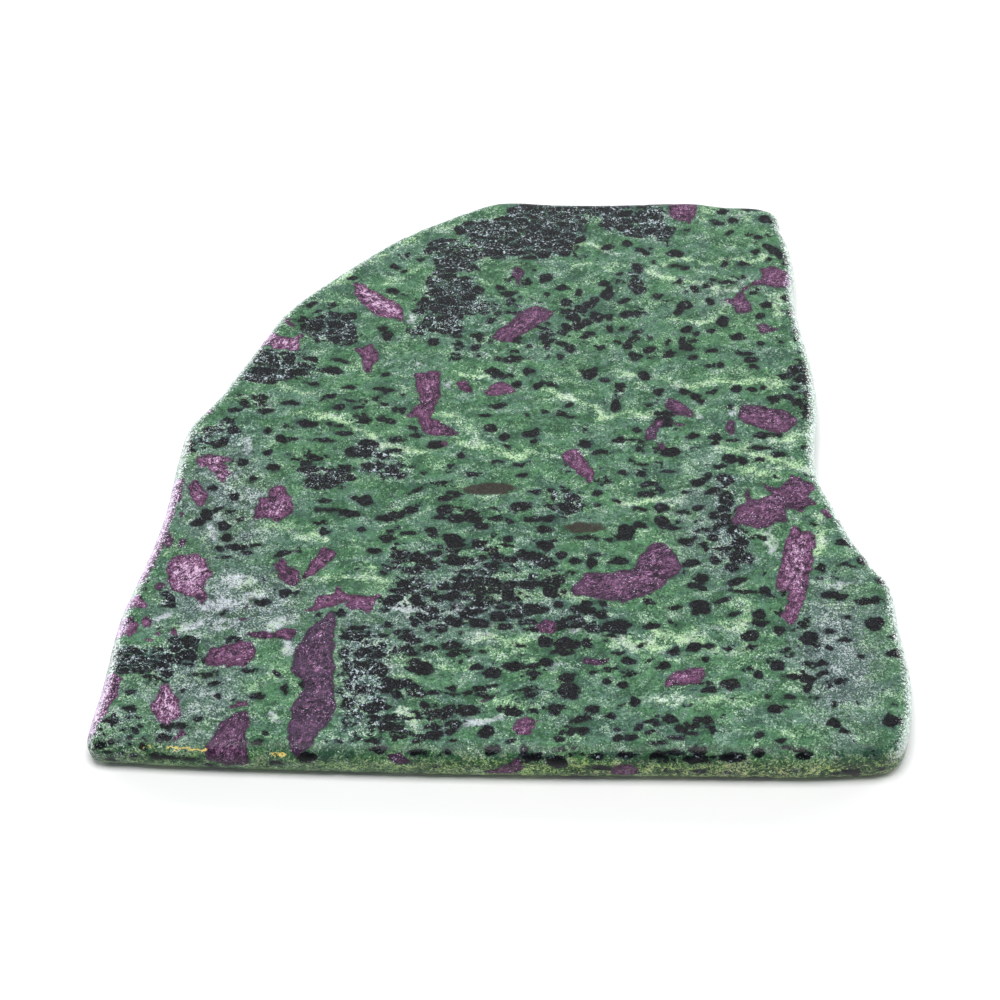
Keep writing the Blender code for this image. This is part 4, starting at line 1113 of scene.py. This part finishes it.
def attribute(name, out="Fac"):
    return Wire.node("ShaderNodeAttribute", {"attribute_name": name}, out=out)


def channel(colour, number):
    """Red, green or blue (0, 1, 2) of a colour."""
    return Wire.node("ShaderNodeSeparateColor", {}, {0: colour}, out=number)


def swirl(place, scale, detail):
    """Noise as a vector, to bend or fray the places that other textures read."""
    return Wire.node(
        "ShaderNodeTexNoise", {}, {"Vector": place, "Scale": scale, "Detail": detail}, out="Color"
    )


def cells(layout, out, feature="F1"):
    """Irregular cells: the distance to the middle or border, or each cell's own colour."""
    return Wire.node("ShaderNodeTexVoronoi", {"feature": feature}, layout, out=out)


def speckle(place, scale, detail=2.0, roughness=0.5, distortion=0.0):
    """Noise around 0.5, with so many features to the millimetre."""
    return Wire.node(
        "ShaderNodeTexNoise", {},
        {"Vector": place, "Scale": scale, "Detail": detail, "Roughness": roughness,
         "Distortion": distortion}, out="Fac",
    )


rock = bpy.data.materials.new("ruby_zoisite")
rock.use_nodes = True
Wire.tree = rock.node_tree
surface_shader = rock.node_tree.nodes["Principled BSDF"]

place = Wire.node("ShaderNodeTexCoord", out="Object").scaled(1 / MM, 1 / MM, 1 / MM)
bend = swirl(place, 0.11, 2.0)
layered = place.moved(bend.scaled(0.0, 7.0, 3.0)).scaled(0.55, 1.0, 1.0)

# the same four grains of noise fray every border, so that neighbours fit together
broad = speckle(layered, 0.28, 3.0, 0.6) - 0.5
medium = speckle(place, 0.9, 3.0, 0.65) - 0.5
fine = speckle(place.moved((31.0, 5.0, 0.0)), 2.6, 2.0, 0.7) - 0.5
finest = speckle(place.moved((0.0, 57.0, 9.0)), 4.6, 1.0, 0.6) - 0.5

# each half-millimetre crystal of the sugary rock keeps a tone of its own
ragged = swirl(place, 0.9, 3.0)
crystal = cells({"Vector": place.moved(ragged.scaled(0.8, 0.8, 0.8)), "Scale": 2.6}, "Color")
crystal_tone = (channel(crystal, 0) - 0.5) * 0.3
crystal_light = (channel(crystal, 1) - 0.5) * 0.3

# green zoisite: deep and mid green, with a sugar of paler crystals that gathers in the seams
DEEP_GREEN = srgb(42, 78, 56)
MID_GREEN = srgb(77, 119, 89)
LIGHT_GREEN = srgb(116, 150, 123)
PALE_GREEN = srgb(176, 200, 168)
CLOUD_GREY = srgb(94, 112, 104)
GREY_WHITE = srgb(180, 194, 186)

patchy = speckle(layered, 0.42, 4.0, 0.65) - 0.5
seam_here = attribute("seam")
green_tone = broad * 0.9 + medium * 0.8 + crystal_tone * 0.7 + fine * 0.3
colour = tint(green_tone.step(-0.18, 0.14), DEEP_GREEN, MID_GREEN)
light_share = fine * 0.9 + crystal_light * 0.6 + patchy * 1.0 + seam_here * 0.26
colour = tint(light_share.step(0.0, 0.18) * 0.85, colour, LIGHT_GREEN)
pale_share = fine * 0.9 + finest * 0.25 + crystal_tone * 0.5 + patchy * 0.7 + seam_here * 0.25
colour = tint(pale_share.step(0.16, 0.25) * 0.95, colour, PALE_GREEN)

# the grey clouding and the feldspar
cloud_here = attribute("cloud")
colour = tint((cloud_here * (0.8 + medium * 2.0)).at_most(1.0), colour, CLOUD_GREY)
cloud_sugar = fine * 0.9 + finest * 0.6 + crystal_light * 0.6 + patchy * 0.5
colour = tint(cloud_here * cloud_sugar.step(0.02, 0.12), colour, GREY_WHITE)
feldspar_here = (attribute("feldspar") * 1.2 + medium * 1.8 + fine * 0.6).step(0.3, 0.9)
colour = tint(feldspar_here * 0.9, colour, GREY_WHITE)

# the front edge, mottled olive: partly its own colour, partly painted shade that is strongest low
# on the wall
OLIVE_CAST = (1.12, 1.18, 0.68)
OLIVE_PAINTED_SHADE = srgb(20, 38, 16)
OLIVE_PALE = srgb(196, 208, 132)
olive_here = attribute("olive")
cast = tint(olive_here * 0.9, (1.0, 1.0, 1.0), OLIVE_CAST)
colour = tint(1.0, colour, cast, "MULTIPLY")
olive_sugar = fine + finest * 0.4 + crystal_light * 0.9 + medium * 1.1 + broad * 0.6
colour = tint(olive_here * olive_sugar.step(0.03, 0.2) * 0.95, colour, OLIVE_PALE)
# painted shade: dark mottles on the front edge, strongest where the olive weight is full
olive_painted_shade_mask = crystal_tone - medium * 1.1 - broad * 0.5 - fine * 0.5
colour = tint(olive_here * olive_painted_shade_mask.step(0.02, 0.16) * 0.85, colour, OLIVE_PAINTED_SHADE)

# small dark flecks in the green
FLECK = srgb(36, 58, 46)
flecks = speckle(layered.scaled(1.2, 1.0, 1.0), 1.1, 3.0, 0.6) - 0.5
colour = tint((flecks + fine * 0.5).step(0.08, 0.17) * 0.6, colour, FLECK)
pepper = flecks * 0.4 + cloud_here * 0.16 + olive_here * 0.08 - fine * 0.8 - finest * 0.5
colour = tint(pepper.step(0.09, 0.18) * 0.7, colour, FLECK)

# hornblende: grains that crowd and merge, laced with blue-grey threads, and single ones between
HORNBLENDE = srgb(2, 4, 7)
HORNBLENDE_PAINTED_SHEEN = srgb(20, 25, 31)
DUSK = srgb(38, 54, 58)
BLUE_SPECK = srgb(172, 196, 188)
packed_place = place.moved(bend.scaled(1.5, 2.5, 1.0)).scaled(0.62, 1.0, 0.8)
packed_place = packed_place.moved(ragged.scaled(1.7, 1.7, 1.0))
cell = {"Vector": packed_place, "Scale": 0.44, "Randomness": 0.95}
cell_reach = cells(cell, "Distance")
cell_border = cells(cell, "Distance", "DISTANCE_TO_EDGE")
cell_pick = channel(cells(cell, "Color"), 0)
crowd_here = attribute("crowding") * 1.2 - seam_here * 0.3 + broad * 0.7 + medium * 0.5
cell_size = ((crowd_here - cell_pick) * 3.5).at_least(0.0).at_most(1.0) * 0.95
gap_depth = cell_border * 1.5 + patchy * 0.6
packed_depth = (cell_size - cell_reach).at_most(gap_depth)

# and smaller ones between them
small_cell = {"Vector": packed_place.moved((9.0, 4.0, 2.0)), "Scale": 1.1}
small_pick = channel(cells(small_cell, "Color"), 0)
small_size = ((crowd_here * 0.5 - small_pick) * 3.0).at_least(0.0).at_most(1.0) * 0.6
small_depth = small_size - cells(small_cell, "Distance")
packed_depth = packed_depth.at_least(small_depth) + medium * 0.5 + fine * 0.5

# the single grains, and everything that the two kinds share
single_depth = attribute("grain_depth") + medium * 1.6 + fine * 0.9 + 0.08
black_depth = (packed_depth * 1.3).at_least(single_depth)
black = black_depth.step(-0.08, 0.12)
halo = (black_depth + medium).step(-0.6, 0.0)
crowded = (crowd_here + medium * 1.5).step(0.3, 1.0)
colour = tint(crowded * (patchy * 1.5 + 0.3), colour, DUSK)
colour = tint(halo * 0.4, colour, DUSK)
# the black grains, patched with a painted sheen
black_with_sheen = tint((medium + fine * 0.6).step(-0.02, 0.2), HORNBLENDE, HORNBLENDE_PAINTED_SHEEN)
colour = tint(black, colour, black_with_sheen)
crack = speckle(place.moved((3.0, 3.0, 3.0)), 1.1, 2.0, 0.6) - 0.5
threads = (crack * crack).step(0.0006, 0.0) * (fine + patchy).step(0.03, 0.15)
borders = (cell_border - fine * 0.3).step(0.05, 0.0) * (medium + patchy + fine).step(0.06, 0.2)
speck_share = (fine * 0.9 + finest * 0.5 + 0.02 - black * 0.18).step(0.04, 0.13)
speck = tint((patchy + broad + finest * 0.5 - black * 0.3).step(-0.1, 0.06), BLUE_SPECK, PALE_GREEN)
colour = tint(speck_share.at_least(threads).at_least(borders) * crowded * 0.9, colour, speck)

# the green runs clearer where little hornblende crowds in, and greyer beside it
CLEARED = (0.92, 1.01, 0.86)
GREYED = (1.06, 0.97, 1.15)
drift = speckle(layered.moved((70.0, 0.0, 0.0)), 0.25, 3.0, 0.6) - 0.5
greyness = drift * 1.6 + medium * 0.8 + crowd_here * 0.25 + cloud_here * 0.3 - 0.04
colour = tint(1.0, colour, tint(greyness.step(-0.16, 0.24), CLEARED, GREYED), "MULTIPLY")

# brown lenses
BROWN = srgb(44, 34, 32)
brown = (attribute("brown_depth") + medium * 1.2 + fine * 1.6).step(-0.2, 0.25)
colour = tint(brown * 0.92, colour, BROWN)

# ruby: plum with a dark rim, streaked along its fibres with pink and near-white grains; the pale
# streaks are partly the crystal's own colour and partly a painted sheen of the silky fibres,
# strongest in the bright crystals
DULL_PLUM = srgb(68, 50, 72)
PLUM = srgb(88, 52, 80)
DARK_PLUM = srgb(40, 22, 42)
PINK = srgb(132, 90, 124)
PALE_PINK_SHEEN = srgb(200, 172, 198)
fibre = attribute("fibre", "Vector")
fibres = speckle(fibre.scaled(0.5, 1.5, 1.0), 1.4, 4.0, 0.75, 1.2) - 0.5
depth_in = attribute("ruby_depth") + medium * 1.5 + fine * 0.8
own_bright = attribute("ruby_bright")
bright = own_bright + depth_in.step(0.4, 2.6) * 0.5 - 0.35
grainy = fibres * 0.9 + fine * 0.45 + finest * 0.2 + medium * 0.5
plum = tint(own_bright.step(0.0, 0.35), DULL_PLUM, PLUM)
ruby = tint((grainy + broad * 0.6).step(-0.16, 0.04), DARK_PLUM, plum)
ruby = tint((grainy + bright * 0.16).step(0.02, 0.22), ruby, PINK)
ruby = tint((grainy + (bright - 0.5) * 0.26).step(0.08, 0.26), ruby, PALE_PINK_SHEEN)
ruby = tint(depth_in.step(1.0, 0.1) * 0.6, ruby, DARK_PLUM)
inclusion = speckle(layered, 0.9, 2.0, 0.6).step(0.62, 0.68)
ruby = tint(inclusion * 0.8, ruby, HORNBLENDE)
is_ruby = depth_in.step(-0.08, 0.22)
colour = tint(is_ruby, colour, ruby)

# a painted highlight: a hair-thin golden line of painted reflection along the left part of the
# front edge, broken into three
GILT_HIGHLIGHT = srgb(240, 212, 124)
HIGHLIGHT_OFFSET, HIGHLIGHT_FALL, HIGHLIGHT_WIDTH = 73.25, 0.067, 0.17    # its line in plan, y against x
HIGHLIGHT_BOTTOM, HIGHLIGHT_TOP = 4.0, 4.5         # it ends above the lower rounding
across, depth, up = (
    Wire.node("ShaderNodeSeparateXYZ", {}, {0: place}, out=axis) for axis in range(3)
)


def edge_highlight_run(start, end, taper):
    """1 between two stations along the front, tapering off at both ends."""
    return across.step(start, start + taper) * across.step(end, end - taper)


off_edge_highlight = depth + across * HIGHLIGHT_FALL + HIGHLIGHT_OFFSET + medium * 1.6
edge_highlight_parts = edge_highlight_run(-61.2, -53.2, 0.6).at_least(edge_highlight_run(-42.0, -38.8, 0.4))
edge_highlight_parts = edge_highlight_parts.at_least(edge_highlight_run(-65.6, -63.2, 0.4) * fine.step(0.0, 0.08))
edge_highlight = (off_edge_highlight * off_edge_highlight).step(HIGHLIGHT_WIDTH ** 2, 0.0) * edge_highlight_parts
edge_highlight = edge_highlight * up.step(HIGHLIGHT_BOTTOM, HIGHLIGHT_TOP)
colour = tint(edge_highlight * (fine * 2.0 + 0.9).at_most(1.0), colour, GILT_HIGHLIGHT)

# painted highlights: tiny glints standing in for light caught by cleavage faces, and the white of
# the side rims, partly bruising that tumbling left and partly painted glare
GLINT = srgb(206, 218, 214)
LILAC_GLINT = srgb(220, 204, 230)
rim_bruise_glare_here = attribute("rim_bruise_glare")
glints = (finest + fine * 0.4 + patchy * 0.6 - black * 0.08 - brown * 0.2).step(0.22, 0.28) * 0.8
bruise_glare_specks = (rim_bruise_glare_here * 0.22 + fine * 1.0 + crystal_tone * 0.8 + finest * 0.7).step(0.14, 0.3)
glint = tint(is_ruby, GLINT, LILAC_GLINT)
# painted glare: a soft whitening at the very edge of the side rims
colour = tint((rim_bruise_glare_here + medium + fine * 0.8).step(0.4, 0.95) * 0.75, colour, glint)
colour = tint(glints.at_least(bruise_glare_specks * rim_bruise_glare_here.step(0.02, 0.4)), colour, glint)

# no two crystals are polished quite alike
grit = (finest * 0.8 + crystal_light * 0.5 + medium * 0.4) * 1.1 + 1.0
colour = tint(1.0, colour, grit, "MULTIPLY")

# a satin gloss, a little higher on the black grains, with pits at the size of single grains
SATIN_ROUGHNESS = 0.34
SATIN_GLOSS = 0.18
REFRACTION = 1.5
PIT_DEPTH, PIT_STRENGTH = 0.3 * MM, 0.35
relief = fine + finest * 0.5 - black * 0.15
bump = Wire.node(
    "ShaderNodeBump", {},
    {"Height": relief, "Strength": PIT_STRENGTH, "Distance": PIT_DEPTH}, out="Normal",
)
roughness = SATIN_ROUGHNESS + fine * 0.5 - black * 0.05
rock.node_tree.links.new(colour.socket, surface_shader.inputs["Base Color"])
rock.node_tree.links.new(roughness.socket, surface_shader.inputs["Roughness"])
rock.node_tree.links.new(bump.socket, surface_shader.inputs["Normal"])
surface_shader.inputs["IOR"].default_value = REFRACTION
surface_shader.inputs["Specular IOR Level"].default_value = SATIN_GLOSS
slab_mesh.materials.append(rock)

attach(polished_slab, "root")
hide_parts("ruby_zoisite_slab")


# ---------------------------------------------------------------------------------------------
# The table and the light
# A plain pale table under four soft lamps: a wide one overhead, a weak one behind, and two low
# ones at the back corners that catch the rims.
# ---------------------------------------------------------------------------------------------
TABLE_HALF = 2.0                         # metres
TABLE_WHITE = (0.86, 0.86, 0.86, 1.0)
TABLE_ROUGHNESS = 0.7
STUDIO_WHITE = (0.94, 0.97, 1.0, 1.0)
STUDIO_STRENGTH = 0.22
corner_signs = ((-1, -1), (1, -1), (1, 1), (-1, 1))
table_mesh = bpy.data.meshes.new("pale_table")
table_mesh.from_pydata(
    [(x * TABLE_HALF, y * TABLE_HALF, 0.0) for x, y in corner_signs], [], [(0, 1, 2, 3)]
)
table = bpy.data.objects.new("pale_table", table_mesh)
bpy.context.scene.collection.objects.link(table)
white = bpy.data.materials.new("pale_table")
white.use_nodes = True
white_shader = white.node_tree.nodes["Principled BSDF"]
white_shader.inputs["Base Color"].default_value = TABLE_WHITE
white_shader.inputs["Roughness"].default_value = TABLE_ROUGHNESS
table_mesh.materials.append(white)

world = bpy.data.worlds.new("studio")
world.use_nodes = True
world.node_tree.nodes["Background"].inputs["Color"].default_value = STUDIO_WHITE
world.node_tree.nodes["Background"].inputs["Strength"].default_value = STUDIO_STRENGTH
bpy.context.scene.world = world


def soft_light(name, place, width, height, power):
    """A rectangular lamp that looks at the slab; metres and watts."""
    lamp = bpy.data.lights.new(name, "AREA")
    lamp.shape = "RECTANGLE"
    lamp.size, lamp.size_y = width, height
    lamp.energy = power
    holder = bpy.data.objects.new(name, lamp)
    holder.location = place
    holder.rotation_euler = (-Vector(place)).to_track_quat("-Z", "Y").to_euler()
    bpy.context.scene.collection.objects.link(holder)


soft_light("overhead", (0.0, -0.12, 1.1), 0.7, 0.5, 12.3)
soft_light("back", (0.0, 1.05, 0.76), 0.9, 0.25, 4.0)
soft_light("back_left", (-0.95, 0.75, 0.22), 0.9, 0.4, 10.0)
soft_light("back_right", (0.95, 0.75, 0.22), 0.9, 0.4, 10.0)

bpy.context.scene.view_settings.view_transform = "Standard"
bpy.context.scene.view_settings.look = "None"


# ---------------------------------------------------------------------------------------------
# The camera
# A long lens in front of the slab, 50 degrees above the table. Lengths here are millimetres.
# ---------------------------------------------------------------------------------------------
VIEW_ANGLE = 50.0
VIEW_DISTANCE = 546.0
VIEW_POINT = (-0.25, -8.45, 4.0)
FOCAL_LENGTH = 100.0
SENSOR_WIDTH = 36.0
CLIP_START = 10.0
tilt = math.radians(VIEW_ANGLE)
lens = bpy.data.cameras.new("camera")
lens.lens = FOCAL_LENGTH
lens.sensor_width = SENSOR_WIDTH
lens.clip_start = CLIP_START * MM
camera = bpy.data.objects.new("camera", lens)
camera.location = (
    Vector(VIEW_POINT) - VIEW_DISTANCE * Vector((0.0, math.cos(tilt), -math.sin(tilt)))
) * MM
camera.rotation_euler = (math.pi / 2 - tilt, 0.0, 0.0)
bpy.context.scene.collection.objects.link(camera)
bpy.context.scene.camera = camera
